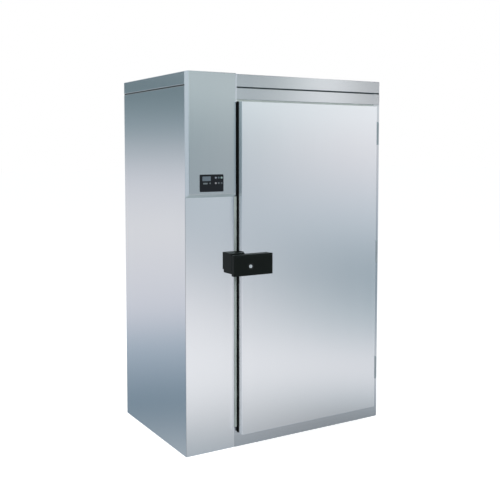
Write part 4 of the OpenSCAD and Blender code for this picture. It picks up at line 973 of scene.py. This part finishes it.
# Slats at an even pitch across a round opening, each as wide as the opening is at its height
louvres, given = pattern("louvre_stack", {
    "Blade": ("Object", None), "Count": ("Int", 7), "Pitch": ("Float", 0.010), "Reach": ("Float", 0.035),
    "Finish": ("Material", None)})
order = add(louvres, "GeometryNodeInputIndex")
gaps = add(louvres, "ShaderNodeMath", {"operation": "SUBTRACT", 0: given["Count"], 1: 1.0})
from_middle = add(louvres, "ShaderNodeMath", {"operation": "MULTIPLY_ADD", 0: gaps, 1: -0.5, 2: order})
rise = add(louvres, "ShaderNodeMath", {"operation": "MULTIPLY", 0: from_middle, 1: given["Pitch"]})
share = add(louvres, "ShaderNodeMath", {"operation": "DIVIDE", 0: rise, 1: given["Reach"]})
squared = add(louvres, "ShaderNodeMath", {"operation": "MULTIPLY", 0: share, 1: share})
left_over = add(louvres, "ShaderNodeMath", {"operation": "SUBTRACT", 0: 1.0, 1: squared})
chord = add(louvres, "ShaderNodeMath", {"operation": "SQRT", 0: left_over})
widths = add(louvres, "ShaderNodeCombineXYZ", {0: chord, 1: 1.0, 2: 1.0})
placed = add(louvres, "GeometryNodeSetPosition", {
    "Geometry": add(louvres, "GeometryNodeMeshLine", {"Count": given["Count"]}),
    "Position": add(louvres, "ShaderNodeCombineXYZ", {2: rise})})
blade = add(louvres, "GeometryNodeObjectInfo", {"Object": given["Blade"]})
close_pattern(louvres, add(louvres, "GeometryNodeInstanceOnPoints", {
    "Points": placed, "Instance": blade.outputs["Geometry"], "Scale": widths}), given["Finish"])

inner, outer = vent_y
tube_r, flange_r, slat_reach = 0.040, 0.055, 0.0374
fit(shape("vent_housing", (lathe, [
    (0.0372, inner + 0.001), (0.0372, outer - 0.001), (0.0385, outer), (0.0560, outer),
    (0.0600, outer - 0.004), (0.0600, outer - 0.012), (tube_r, outer - 0.012), (tube_r, inner + 0.010),
    (flange_r, inner + 0.010), (flange_r, inner + 0.003), (0.052, inner), (0.0385, inner)],
    "y", vent_at, 56)), white_plastic, ["pressure_vent"])
for side, depth_at, tilt in (("inner", inner + 0.006, -1), ("outer", outer - 0.006, 1)):
    slat = shape("louvre_model", (prism, [
        (-0.0045, 0.0040 * tilt), (-0.0035, 0.0044 * tilt), (0.0045, -0.0036 * tilt),
        (0.0035, -0.0044 * tilt)], "x", (-slat_reach, slat_reach)))
    slats = grow(side + "_vent_louvres", louvres, {
        "Blade": slat, "Count": 7, "Pitch": 0.0098, "Reach": slat_reach, "Finish": white_plastic})
    bpy.data.objects.remove(slat)
    slats.data.transform(Matrix.Translation((vent_at[0], depth_at, vent_at[1])))
    ride_with(slats)


# ---- Fan panel: a stainless sheet with folded edges that hangs on two lift-off pins at the back
# post and carries three fans. Each has a spun inlet ring, a wire guard and a motor on four arms,
# so the whole panel swings out for cleaning the evaporator.

joints_at = {j["name"]: j["pos_m"] for j in frame["joints"] if "pos_m" in j}
panel_pin = joints_at["fan_door_swing"][:2]
turn_at = joints_at["fan_door_lock_turn"][1:]
fan_names = ("lower", "middle", "upper")
fan_levels = [joints_at[name + "_fan_spin"][2] for name in fan_names]
posts_y, posts_z = box_of("panel_posts")[1:]
panel_z = box_of("fan_panel")[2]
tongue_x, tongue_y = box_of("panel_lock")[:2]
post_face, post_edge = panel_pin[0] - 0.007, panel_pin[1]
post_x, sheet_y = (post_face - 0.030, post_face), (-post_edge + 0.007, post_edge - 0.007)
pin_heights = inset(panel_z, 0.150)
pin_reach = 0.040

front_post = shape("front_panel_post", (block, post_x, (posts_y[0], -post_edge), posts_z, 0.002))
fit(cut_from(front_post, (block, (tongue_x[0] - 0.002, tongue_x[0] + 0.006),
                          (-post_edge - past, -post_edge + past),
                          (turn_at[1] - 0.030, turn_at[1] + 0.009))),
    lining_steel, ["panel_posts"])
back_post = [(block, post_x, (post_edge, posts_y[1]), posts_z, 0.002)]
for level in pin_heights:
    back_post += [(block, (post_face - 0.001, panel_pin[0] - 0.002), (post_edge + 0.0005, post_edge + 0.025),
                   (level - pin_reach, level), 0.001),
                  (rod, "z", panel_pin, 0.006, (level - pin_reach, level), 0.0008, 24),
                  (rod, "z", panel_pin, 0.003, (level - 0.002, level + 0.036), 0.001, 20)]
fit(shape("back_panel_post", *back_post), lining_steel)

panel_steel = brushed_stainless("brushed_stainless_fan_panel", "#ced2d4", 0.33, 0.6)
inlet = 0.178
punch = (post_face - past, post_face + past)
panel = shape("fan_panel_sheet", (block, (post_face - 0.002, post_face), sheet_y, panel_z, 0.0006))
fit(cut_from(panel, *((rod, "x", (0, level), inlet, punch, 0.0001, 96) for level in fan_levels),
             (rod, "x", turn_at, 0.0053, punch, 0.0001, 24)),
    panel_steel, ["fan_panel"], "fan_door")
folds = [(block, (post_face - 0.017, post_face - 0.0015), (sheet_y[0], post_edge - 0.027), edge_z, 0.0006)
         for edge_z in ((panel_z[0], panel_z[0] + 0.002), (panel_z[1] - 0.002, panel_z[1]))]
for level in pin_heights:
    folds += [(block, (post_face, panel_pin[0] - 0.0032), (post_edge - 0.031, post_edge),
               (level + 0.0003, level + pin_reach), 0.001),
              (lathe, [(0.00305, 0.0003), (0.0055, 0.0003), (0.006, 0.001), (0.006, 0.039), (0.005, 0.040),
                       (0.0, 0.040), (0.0, 0.037), (0.00305, 0.037)], "z", (*panel_pin, level), 24)]
fit(shape("fan_panel_folds_and_knuckles", *folds), panel_steel, body="fan_door")


def motor_arm(form, level, turn):
    """Adds one of a motor's arms, turned about the fan's axis."""
    start_at = len(form.verts)
    block(form, (shroud_back, shroud_back + 0.005), (0.0465, inlet + 0.0005), (-0.008, 0.008), 0.0012)
    form.verts.ensure_lookup_table()
    bmesh.ops.transform(form, verts=form.verts[start_at:], matrix=Matrix.Translation((0, 0, level)) @
                        Matrix.Rotation(turn, 4, "X"))


# the ring is rolled from the sheet's back into a bell mouth, with a bead round its far rim
shroud_back = box_of("fan_shrouds")[0][0]
mouth_r, ring_r, behind = 0.010, 0.192, post_face - 0.0022
rim = [(inlet, shroud_back + 0.001), (inlet + 0.001, shroud_back), (inlet + 0.003, shroud_back),
       (inlet + 0.003, shroud_back + 0.003), (inlet + 0.0012, shroud_back + 0.0035)]
mouth_back = [(inlet + 0.0012, post_face - 0.0130), (inlet + 0.004, post_face - 0.0062),
              (inlet + 0.010, post_face - 0.0036), (ring_r, post_face - 0.0034)]
mouth = arc((inlet + mouth_r, behind - mouth_r), (mouth_r, mouth_r), 90, 180, 6)
rings = []
for level in fan_levels:
    rings.append((lathe, [(ring_r, behind)] + mouth + rim + mouth_back, "x", (0, level), 96))
    rings += [(motor_arm, level, quarter * math.pi / 2) for quarter in range(4)]
fit(shape("fan_inlet_rings_and_arms", *rings), zinc_steel, ["fan_shrouds"], "fan_door")

motor_black = moulded_plastic("black_painted_motor", "#23282b", 0.48, 0.4)
motor_x = box_of("fan_motors")[0]
motor_r, fin_depth, motor_back, motor_front = 0.048, 0.003, motor_x[0], shroud_back + 0.006
cooling = []
for groove_x in (motor_back + 0.012 + i * 0.007 for i in range(5)):
    cooling += [(motor_r, groove_x), (motor_r - fin_depth, groove_x + 0.0008),
                (motor_r - fin_depth, groove_x + 0.003), (motor_r, groove_x + 0.0038)]
motor = [(0, motor_back), (0.036, motor_back), (0.044, motor_back + 0.002), (motor_r, motor_back + 0.007),
         *cooling, (motor_r, motor_front - 0.003), (motor_r - 0.003, motor_front), (0.016, motor_front),
         (0.016, motor_front + 0.0008), (0.006, motor_front + 0.0008), (0.006, motor_x[1] - 0.0006),
         (0.0054, motor_x[1]), (0, motor_x[1])]
fit(shape("fan_motor_housings", *((lathe, motor, "x", (0, level)) for level in fan_levels)),
    motor_black, ["fan_motors"], "fan_door")


def set_round(tree, model, count, axis):
    """Sets as many copies of a model evenly round an axis of the tree, given as its number."""
    order = add(tree, "GeometryNodeInputIndex")
    share = add(tree, "ShaderNodeMath", {"operation": "DIVIDE", 0: order, 1: count})
    angle = add(tree, "ShaderNodeMath", {"operation": "MULTIPLY", 0: share, 1: 2 * math.pi})
    return add(tree, "GeometryNodeInstanceOnPoints", {
        "Points": add(tree, "GeometryNodeMeshLine", {"Offset": (0, 0, 0), "Count": count}),
        "Instance": model, "Rotation": add(tree, "ShaderNodeCombineXYZ", {axis: angle})})


# A wire guard: concentric rings welded to straight spokes
guard, given = pattern("wire_guard", {
    "Rings": ("Int", 12), "Radius": ("Float", 0.18), "Wire": ("Float", 0.0013), "Spokes": ("Int", 8),
    "Hub": ("Float", 0.03), "Finish": ("Material", None)})
order = add(guard, "GeometryNodeInputIndex")
reach = add(guard, "ShaderNodeMath", {"operation": "SUBTRACT", 0: given["Radius"], 1: given["Hub"]})
gaps = add(guard, "ShaderNodeMath", {"operation": "SUBTRACT", 0: given["Rings"], 1: 1.0})
spacing = add(guard, "ShaderNodeMath", {"operation": "DIVIDE", 0: reach, 1: gaps})
ring_size = add(guard, "ShaderNodeMath", {"operation": "MULTIPLY_ADD", 0: order, 1: spacing, 2: given["Hub"]})
rings_set = add(guard, "GeometryNodeInstanceOnPoints", {
    "Points": add(guard, "GeometryNodeMeshLine", {"Offset": (0, 0, 0), "Count": given["Rings"]}),
    "Instance": add(guard, "GeometryNodeCurvePrimitiveCircle", {"Resolution": 72, "Radius": 1.0}),
    "Scale": ring_size})
one_spoke = add(guard, "GeometryNodeCurvePrimitiveLine", {
    "Start": add(guard, "ShaderNodeCombineXYZ", {0: given["Hub"]}),
    "End": add(guard, "ShaderNodeCombineXYZ", {0: given["Radius"]})})
spokes_set = set_round(guard, one_spoke, given["Spokes"], 2)
below = add(guard, "ShaderNodeMath", {"operation": "MULTIPLY", 0: given["Wire"], 1: -1.7})
behind_rings = add(guard, "ShaderNodeCombineXYZ", {2: below})
spokes_low = add(guard, "GeometryNodeTransform", {"Geometry": spokes_set, "Translation": behind_rings})
wires = add(guard, "GeometryNodeJoinGeometry", {0: rings_set})
guard.links.new(spokes_low.outputs[0], wires.inputs[0])
wire_round = add(guard, "GeometryNodeCurvePrimitiveCircle", {"Resolution": 10, "Radius": given["Wire"]})
wire_mesh = add(guard, "GeometryNodeCurveToMesh", {
    "Fill Caps": True, "Curve": add(guard, "GeometryNodeRealizeInstances", {0: wires}),
    "Profile Curve": wire_round})
close_pattern(guard, wire_mesh, given["Finish"])

coated_wire = moulded_plastic("grey_coated_guard_wire", "#8c9396", 0.4, 0.1)
guard_front = box_of("fan_guards")[0][1]
guard_r, wire, screw_circle = 0.1825, 0.0014, 0.188
guard_screws = []
for name, level in zip(fan_names, fan_levels):
    made = grow(name + "_fan_guard", guard, {
        "Rings": 12, "Radius": guard_r, "Wire": wire, "Spokes": 8, "Hub": 0.022, "Finish": coated_wire})
    made.data.transform(Matrix.Translation((guard_front - wire - 0.00005, 0, level)) @
                        Matrix.Rotation(math.pi / 2, 4, "Y"))
    ride_with(made, ["fan_guards"] if name == "lower" else (), "fan_door")
    guard_screws += [(post_face, *at) for at in arc((0, level), (screw_circle,) * 2, 22.5, 337.5, 7)]
screw_on("guard_screws", guard_screws, "right", 0.0045, 0.0022, body="fan_door")

# A fan wheel's blades: cambered and twisted from root to tip, set round the hub
blades, given = pattern("fan_blades", {
    "Blades": ("Int", 5), "Root": ("Float", 0.04), "Tip": ("Float", 0.17), "Root pitch": ("Float", 0.47),
    "Tip pitch": ("Float", 0.31), "Root chord": ("Float", 0.085), "Tip chord": ("Float", 0.120),
    "Thickness": ("Float", 0.003), "Camber": ("Float", 0.010), "Finish": ("Material", None)})
plate = add(blades, "GeometryNodeMeshCube", {"Size": (1, 1, 1), "Vertices X": 16, "Vertices Y": 13,
                                            "Vertices Z": 2})
outwards, chordwise, through = add(blades, "ShaderNodeSeparateXYZ", {
    0: add(blades, "GeometryNodeInputPosition")}).outputs
out_share = add(blades, "ShaderNodeMath", {"operation": "ADD", 0: outwards, 1: 0.5})
sums = {"chordwise": chordwise, "through": through, "gauge": given["Thickness"], "camber": given["Camber"]}
for name, kind in (("radius", ""), ("pitch", " pitch"), ("chord", " chord")):
    sums[name] = add(blades, "ShaderNodeMix", {
        0: out_share, 2: given["Root" + kind], 3: given["Tip" + kind]})
# where a point of the flat plate goes, sum by sum: its name, its kind and what it is worked out from
for name, kind, *parts in (
        ("along chord", "MULTIPLY", "chordwise", "chord"),
        ("squared", "MULTIPLY", "chordwise", "chordwise"),
        ("edge fade", "MULTIPLY_ADD", "squared", -4.0, 1.0),
        ("bow", "MULTIPLY", "edge fade", "camber"),
        ("off middle", "MULTIPLY", "through", "gauge"),
        ("thinning", "MULTIPLY_ADD", "edge fade", 0.7, 0.3),
        ("skin off", "MULTIPLY", "off middle", "thinning"),
        ("lift", "ADD", "bow", "skin off"),
        ("pitch sine", "SINE", "pitch"),
        ("pitch cosine", "COSINE", "pitch"),
        ("chord ahead", "MULTIPLY", "along chord", "pitch sine"),
        ("lift ahead", "MULTIPLY", "lift", "pitch cosine"),
        ("ahead", "ADD", "chord ahead", "lift ahead"),
        ("chord aside", "MULTIPLY", "along chord", "pitch cosine"),
        ("lift aside", "MULTIPLY", "lift", "pitch sine"),
        ("aside", "SUBTRACT", "chord aside", "lift aside"),
        ("round angle", "DIVIDE", "aside", "radius"),
        ("round cosine", "COSINE", "round angle"),
        ("round sine", "SINE", "round angle"),
        ("level", "MULTIPLY", "radius", "round cosine"),
        ("upright", "MULTIPLY", "radius", "round sine")):
    sums[name] = add(blades, "ShaderNodeMath", {
        "operation": kind, **{place: sums.get(part, part) for place, part in enumerate(parts)}})
shaped = add(blades, "GeometryNodeSetPosition", {
    "Geometry": plate.outputs["Mesh"], "Position": add(blades, "ShaderNodeCombineXYZ", {
        0: sums["ahead"], 1: sums["level"], 2: sums["upright"]})})
close_pattern(blades, set_round(blades, shaped, given["Blades"], 0), given["Finish"])

fan_black = moulded_plastic("black_glass_filled_nylon", "#2b3034", 0.45, 0.35)
fan_x = joints_at["lower_fan_spin"][0]
hub_r, bore_r = 0.045, 0.0061
for name, level in zip(fan_names, fan_levels):
    made = grow(name + "_fan_blades", blades, {
        "Blades": 5, "Root": 0.041, "Tip": 0.169, "Root pitch": math.radians(27),
        "Tip pitch": math.radians(17), "Root chord": 0.082, "Tip chord": 0.118, "Thickness": 0.0034,
        "Camber": 0.009, "Finish": fan_black})
    made.data.transform(Matrix.Translation((fan_x - 0.003, 0, level)))
    ride_with(made, body=name + "_fan")
    back, front = box_of("fan_" + name)[0]
    hub = [(bore_r, back + 0.004), (0.010, back + 0.002), (0.012, back + 0.002), (0.012, fan_x),
           (0.041, fan_x), (0.042, back + 0.002), (hub_r, back + 0.002),
           *arc((0, front - 0.014), (hub_r, 0.013), 0, 78.75, 7), (0.0, front - 0.001),
           (0.0, fan_x + 0.012), (bore_r, fan_x + 0.012)]
    fit(shape(name + "_fan_hub", (lathe, hub, "x", (0, level))), fan_black,
        ["fan_" + name], name + "_fan")

grip = (tongue_x[1] - 0.0035, tongue_x[1] + past)
turn_lock = shape(
    "fan_panel_turn_lock",
    (lathe, [(0, tongue_x[1]), (0.0105, tongue_x[1]), (0.0135, tongue_x[1] - 0.002),
             (0.014, tongue_x[1] - 0.006), (0.0125, post_face + 0.0003), (0.005, post_face + 0.0003),
             (0.005, tongue_x[0] + 0.003), (0, tongue_x[0] + 0.003)], "x", turn_at, 36),
    (block, (tongue_x[0], tongue_x[0] + 0.004), (tongue_y[0] + 0.008, tongue_y[0] + 0.020),
     (turn_at[1] - 0.026, turn_at[1] + 0.006), 0.001))
fit(cut_from(turn_lock, *((block, grip, side_y, (turn_at[1] - 0.02, turn_at[1] + 0.02)) for side_y in (
    (turn_at[0] - 0.020, turn_at[0] - 0.003), (turn_at[0] + 0.003, turn_at[0] + 0.020)))),
    coated_black, ["panel_lock"], "fan_door_lock")


# ---- Evaporator: aluminium fins pressed on copper tubes between two galvanised end plates, fed
# through an expansion valve, with its pipes led out through the roof. A folded tray under it
# catches the melt water, which a plastic pipe takes out at the back.

casing_x, casing_y, casing_z = box_of("coil_casing")
fins_x, _, fins_z = box_of("coil_fins")
galvanised = brushed_stainless("galvanised_sheet", "#b4babd", 0.42, 0.0, (34, 34, 34))
plate_gauge = 0.003
coil_low = fins_z[0] - plate_gauge
fit(shape("coil_end_plates", *((block, casing_x, plate_y, casing_z, 0.0008) for plate_y in (
    (casing_y[0], casing_y[0] + plate_gauge), (casing_y[1] - plate_gauge, casing_y[1])))),
    galvanised, ["coil_casing"])
fit(shape("coil_top_and_bottom", *((
    block, casing_x, inset(casing_y, plate_gauge), (low, low + plate_gauge), 0.0006)
    for low in (coil_low, casing_z[1] - plate_gauge))), galvanised)

# Fins stacked at an even pitch along the coil. A real one is 0.2 mm thick; these are drawn thicker,
# so that the stack reads as metal from the front.
fin_stack, given = pattern("fin_stack", {
    "Fin": ("Object", None), "Count": ("Int", 110), "Pitch": ("Float", 0.005),
    "Finish": ("Material", None)})
line_of = add(fin_stack, "GeometryNodeMeshLine", {
    "Count": given["Count"], "Offset": add(fin_stack, "ShaderNodeCombineXYZ", {1: given["Pitch"]})})
one_fin = add(fin_stack, "GeometryNodeObjectInfo", {"Object": given["Fin"]})
close_pattern(fin_stack, add(fin_stack, "GeometryNodeInstanceOnPoints", {
    "Points": line_of, "Instance": one_fin.outputs["Geometry"]}), given["Finish"])

fin_aluminium = brushed_stainless("bright_rolled_aluminium", "#c6cacc", 0.38, 0.0, (12, 12, 400))
fin_gauge, fin_pitch, ripple, ripples = 0.0009, 0.0042, 0.0011, 8
edge_line = [(at, ripple * (i % 2)) for i, at in enumerate(spread(fins_x, ripples + 1))]
rippled_fin = shape("fin_model", (prism, edge_line + [(a, b + fin_gauge) for a, b in reversed(edge_line)],
                                  "z", fins_z))
fins_n = int((casing_y[1] - casing_y[0] - 0.012) / fin_pitch)
made = grow("coil_fin_stack", fin_stack, {
    "Fin": rippled_fin, "Count": fins_n, "Pitch": fin_pitch, "Finish": fin_aluminium})
bpy.data.objects.remove(rippled_fin)
made.data.transform(Matrix.Translation((0, -(fins_n - 1) * fin_pitch / 2 - ripple / 2, 0)))
ride_with(made, ["coil_fins"])


def copper(name, tone, rough):
    """Drawn copper or brass: warm metal, a little dull where it has tarnished, in soft patches
    about 30 mm across."""
    finish, tree, place = new_finish(name)
    tarnish = add(tree, "ShaderNodeTexNoise", {
        "Vector": place.outputs["Object"], "Scale": 32.0, "Detail": 4.0})
    skin = add(tree, "ShaderNodeBsdfPrincipled", {
        "Metallic": 1.0, "Base Color": add(tree, "ShaderNodeValToRGB", {
            0: tarnish, "stops": shades(tone, (0.35, 0.72), (0.65, 1))}),
        "Roughness": add(tree, "ShaderNodeMapRange", {0: tarnish, 3: rough + 0.12, 4: rough - 0.04})})
    add(tree, "ShaderNodeOutputMaterial", {0: skin})
    return finish


drawn_copper = copper("drawn_copper_tube", "#c0764a", 0.28)
valve_brass = copper("machined_brass_valve", "#c2a560", 0.3)
bend_r, coil_tube_r = 0.022, 0.008
first_row = casing_x[0] + (casing_x[1] - casing_x[0]) / 3
rows_x = (first_row - 0.012, first_row + 0.014)
tubes_n = 2 * int((casing_z[1] - coil_low - 2 * bend_r) / (4 * bend_r))
first_tube = coil_low + bend_r

# a return bend is half a ring of tube, flared to nothing and brazed on the tubes' ends
form = bmesh.new()
loops = []
for t in spread((-math.pi / 2, math.pi / 2), 13):
    heading = Vector((0, math.cos(t), math.sin(t)))
    loops.append([form.verts.new(heading * (bend_r + coil_tube_r * math.cos(a)) +
                                 Vector((coil_tube_r * math.sin(a), 0, 0)))
                  for a in [m * math.pi / 8 for m in range(16)]])
skin_between(form, loops)
form.faces.new(loops[0][::-1])
form.faces.new(loops[-1])
bmesh.ops.recalc_face_normals(form, faces=form.faces[:])
u_bend = object_from("u_bend_model", form, 60)
for side, turn, outer_y, first in (("front", (0, 0, math.pi), casing_y[0], 0),
                                   ("back", (0, 0, 0), casing_y[1], 1)):
    made = grow(side + "_return_bends", screws, {"Head": u_bend, "Turn": turn, "Finish": drawn_copper},
                [(row, outer_y, first_tube + (2 * i + first + 0.5) * 2 * bend_r)
                 for row in rows_x for i in range((tubes_n - first) // 2)])
    made.data.set_sharp_from_angle(angle=math.radians(60))
    ride_with(made, ["coil_tubes"] if side == "front" else ())
bpy.data.objects.remove(u_bend)
tube = [(0, casing_y[0]), (coil_tube_r, casing_y[0]), (coil_tube_r, casing_y[1]), (0, casing_y[1])]
fit(shape("coil_straight_tubes", *((lathe, tube, "y", (row, first_tube + i * 2 * bend_r), 16)
                                   for row in rows_x for i in range(tubes_n))),
    drawn_copper)

lines_z = box_of("refrigerant_lines")[2]
valve_x, _, valve_z = box_of("expansion_valve")
suction_r, liquid_r, braze = 0.011, 0.006, 0.0012
suction_at, liquid_at = (pipe_x, suction_y), (pipe_x, liquid_y)
pipes = [(rod, "z", suction_at, suction_r, lines_z, 0.0015),
         (rod, "z", liquid_at, liquid_r, (valve_z[1] - 0.002, lines_z[1]), 0.001),
         (rod, "z", liquid_at, liquid_r, (casing_z[1] - plate_gauge, valve_z[0] + 0.002), 0.001)]
for level in spread((lines_z[0] + 0.060, casing_z[1] - 0.140), 4):
    pipes += [(rod, "y", (pipe_x, level), coil_tube_r, (casing_y[1] - plate_gauge, suction_y), 0.0005),
              (lathe, [(coil_tube_r, -0.001), (coil_tube_r + braze, -0.001), (coil_tube_r + braze, 0.006),
                       (coil_tube_r, 0.0065)], "y", (pipe_x, suction_y - suction_r - 0.006, level), 24)]
fit(shape("suction_and_liquid_pipes", *pipes), drawn_copper, ["refrigerant_lines"])
fit(shape("roof_pipe_seals", *((lathe, [
    (radius, 0), (radius + 0.006, 0), (radius + 0.006, 0.003), (radius + 0.0035, 0.0055),
    (radius, 0.006)], "z", (*at, roof_top), 36)
    for at, radius in ((suction_at, suction_r), (liquid_at, liquid_r)))), gasket_black)

middle_z, half_h, stem_r, body_r = mid(valve_z), (valve_z[1] - valve_z[0]) / 2, 0.009, 0.014
head_x = valve_x[0]
fit(shape("expansion_valve_body", (lathe, [
    (0, -half_h), (stem_r, -half_h), (stem_r, -half_h + 0.006), (body_r, -half_h + 0.008),
    (body_r, half_h - 0.008), (stem_r, half_h - 0.006), (stem_r, half_h), (0, half_h)],
    "z", (*liquid_at, middle_z), 6), (lathe, [
        (0, pipe_x), (stem_r, pipe_x), (stem_r, head_x + 0.012), (body_r, head_x + 0.0115),
        (0.022, head_x + 0.0085), (0.022, head_x + 0.0065), (0.019, head_x + 0.005), (0.008, head_x),
        (0, head_x)], "x", (liquid_y, middle_z), 36)), valve_brass, ["expansion_valve"])

tray_x, tray_y, tray_z = box_of("drip_tray")
tray_base, tray_gauge = tray_z[1] - 0.035, 0.002
drain_r, drain_bore, elbow = 0.012, 0.009, 0.016
down_at = (drain_at[0], drain_y[0] + drain_r)
tray = shape("drip_tray_pan", (block, tray_x, tray_y, (tray_base, tray_z[1]), 0.003, 3))
fit(cut_from(tray, (block, inset(tray_x, tray_gauge), inset(tray_y, tray_gauge),
                    (tray_base + tray_gauge, tray_z[1] + past), 0.002, 3),
             (rod, "z", down_at, drain_bore, (tray_base - past, tray_base + past))),
    lining_steel, ["drip_tray"])
fit(shape("drip_tray_feet_and_outlet", *((
    block, inset(tray_x, 0.001), (foot_y, foot_y + 0.008), (tray_z[0], tray_base), 0.0015)
    for foot_y in (tray_y[0] + 0.036, tray_y[1] - 0.086)),
    (lathe, [(drain_bore, -0.008), (0.0115, -0.008), (0.012, -0.0072), (0.012, 0.0), (drain_bore, 0.0)],
     "z", (*down_at, tray_base), 32)), lining_steel)


def pipe_along(form, path, radius, bore, sides=32):
    """Adds a hollow pipe along a path that lies in one upright plane, square at both ends."""
    shells = []
    for r in (radius, bore):
        shells.append([])
        for k, place in enumerate(path):
            heading = (path[min(k + 1, len(path) - 1)] - path[max(k - 1, 0)]).normalized()
            side = Vector((1, 0, 0))
            up = heading.cross(side)
            shells[-1].append([form.verts.new(place + r * (side * math.cos(a) + up * math.sin(a)))
                               for a in [m * 2 * math.pi / sides for m in range(sides)]])
    faces = skin_between(form, shells[0]) + skin_between(form, shells[1])
    for end in (0, -1):
        faces += skin_between(form, [shells[0][end], shells[1][end]])
    bmesh.ops.recalc_face_normals(form, faces=faces)


path = [Vector((down_at[0], *at)) for at in (
    (down_at[1], tray_base - 0.008),
    *arc((down_at[1] + elbow, drain_at[1] + elbow), (elbow, elbow), 180, 270, 8),
    (drain_y[1], drain_at[1]))]
fit(shape("drain_pipe_and_seal", (pipe_along, path, drain_r, drain_bore),
          (lathe, [(drain_r, 0.0), (drain_r + 0.006, 0.0), (drain_r + 0.006, 0.004),
                   (drain_r + 0.004, 0.006), (drain_r, 0.006)],
           "y", (drain_at[0], back_y, drain_at[1]), 36)),
    white_plastic, ["drain_pipe"])


# ---- Cable gland: a moulded polyamide gland in the roof for the supply cable. A hexagon seats it
# and a fluted cap squeezes its seal.

cable_r, thread_r, cap_r, cap_low = 0.007, 0.010, 0.0135, 0.0080
gland = [(lathe, [(cable_r, gland_z[0]), (0.0092, gland_z[0]), (thread_r, gland_z[0] + 0.001),
                  (thread_r, roof_top + 0.001), (cable_r, roof_top + 0.001)], "z", gland_at, 32),
         (lathe, [(cable_r, 0.0), (0.0165, 0.0), (0.017, 0.0008), (0.017, 0.0070), (0.0160, cap_low),
                  (cable_r, cap_low)], "z", (*gland_at, roof_top), 6),
         (lathe, [(cable_r, cap_low), (cap_r, cap_low), (cap_r, 0.0185), (0.0120, 0.0230),
                  (0.0100, 0.0255), (0.0085, 0.0260), (cable_r, 0.0255)], "z", (*gland_at, roof_top), 40)]
gland += [(rod, "z", flute_at, 0.0012, (roof_top + 0.0085, roof_top + 0.0195), 0.0004, 12)
          for flute_at in arc(gland_at, (0.0128, 0.0128), 0, 330, 11)]
fit(shape("cable_gland_body", *gland), coated_black, ["cable_gland"])


# ---- Electrical box: a galvanised box behind the cover. A control board stands on four posts in
# it, above the display, and contactors and terminals sit side by side on a rail.

box_gauge = 0.002
electrical = shape("electrical_box_shell", (block, box_x, box_y, box_z, 0.0015))
fit(cut_from(electrical, (block, inset(box_x, box_gauge), (box_y[0] - past, box_y[1] - box_gauge),
                          inset(box_z, box_gauge))),
    galvanised, ["electrical_box"])
dress("control_board", moulded_plastic("green_lacquered_board", "#2c6a44", 0.35, 0.1))
dress("control_gear", moulded_plastic("grey_switchgear_plastic", "#c3c6c4", 0.5, 0.3))
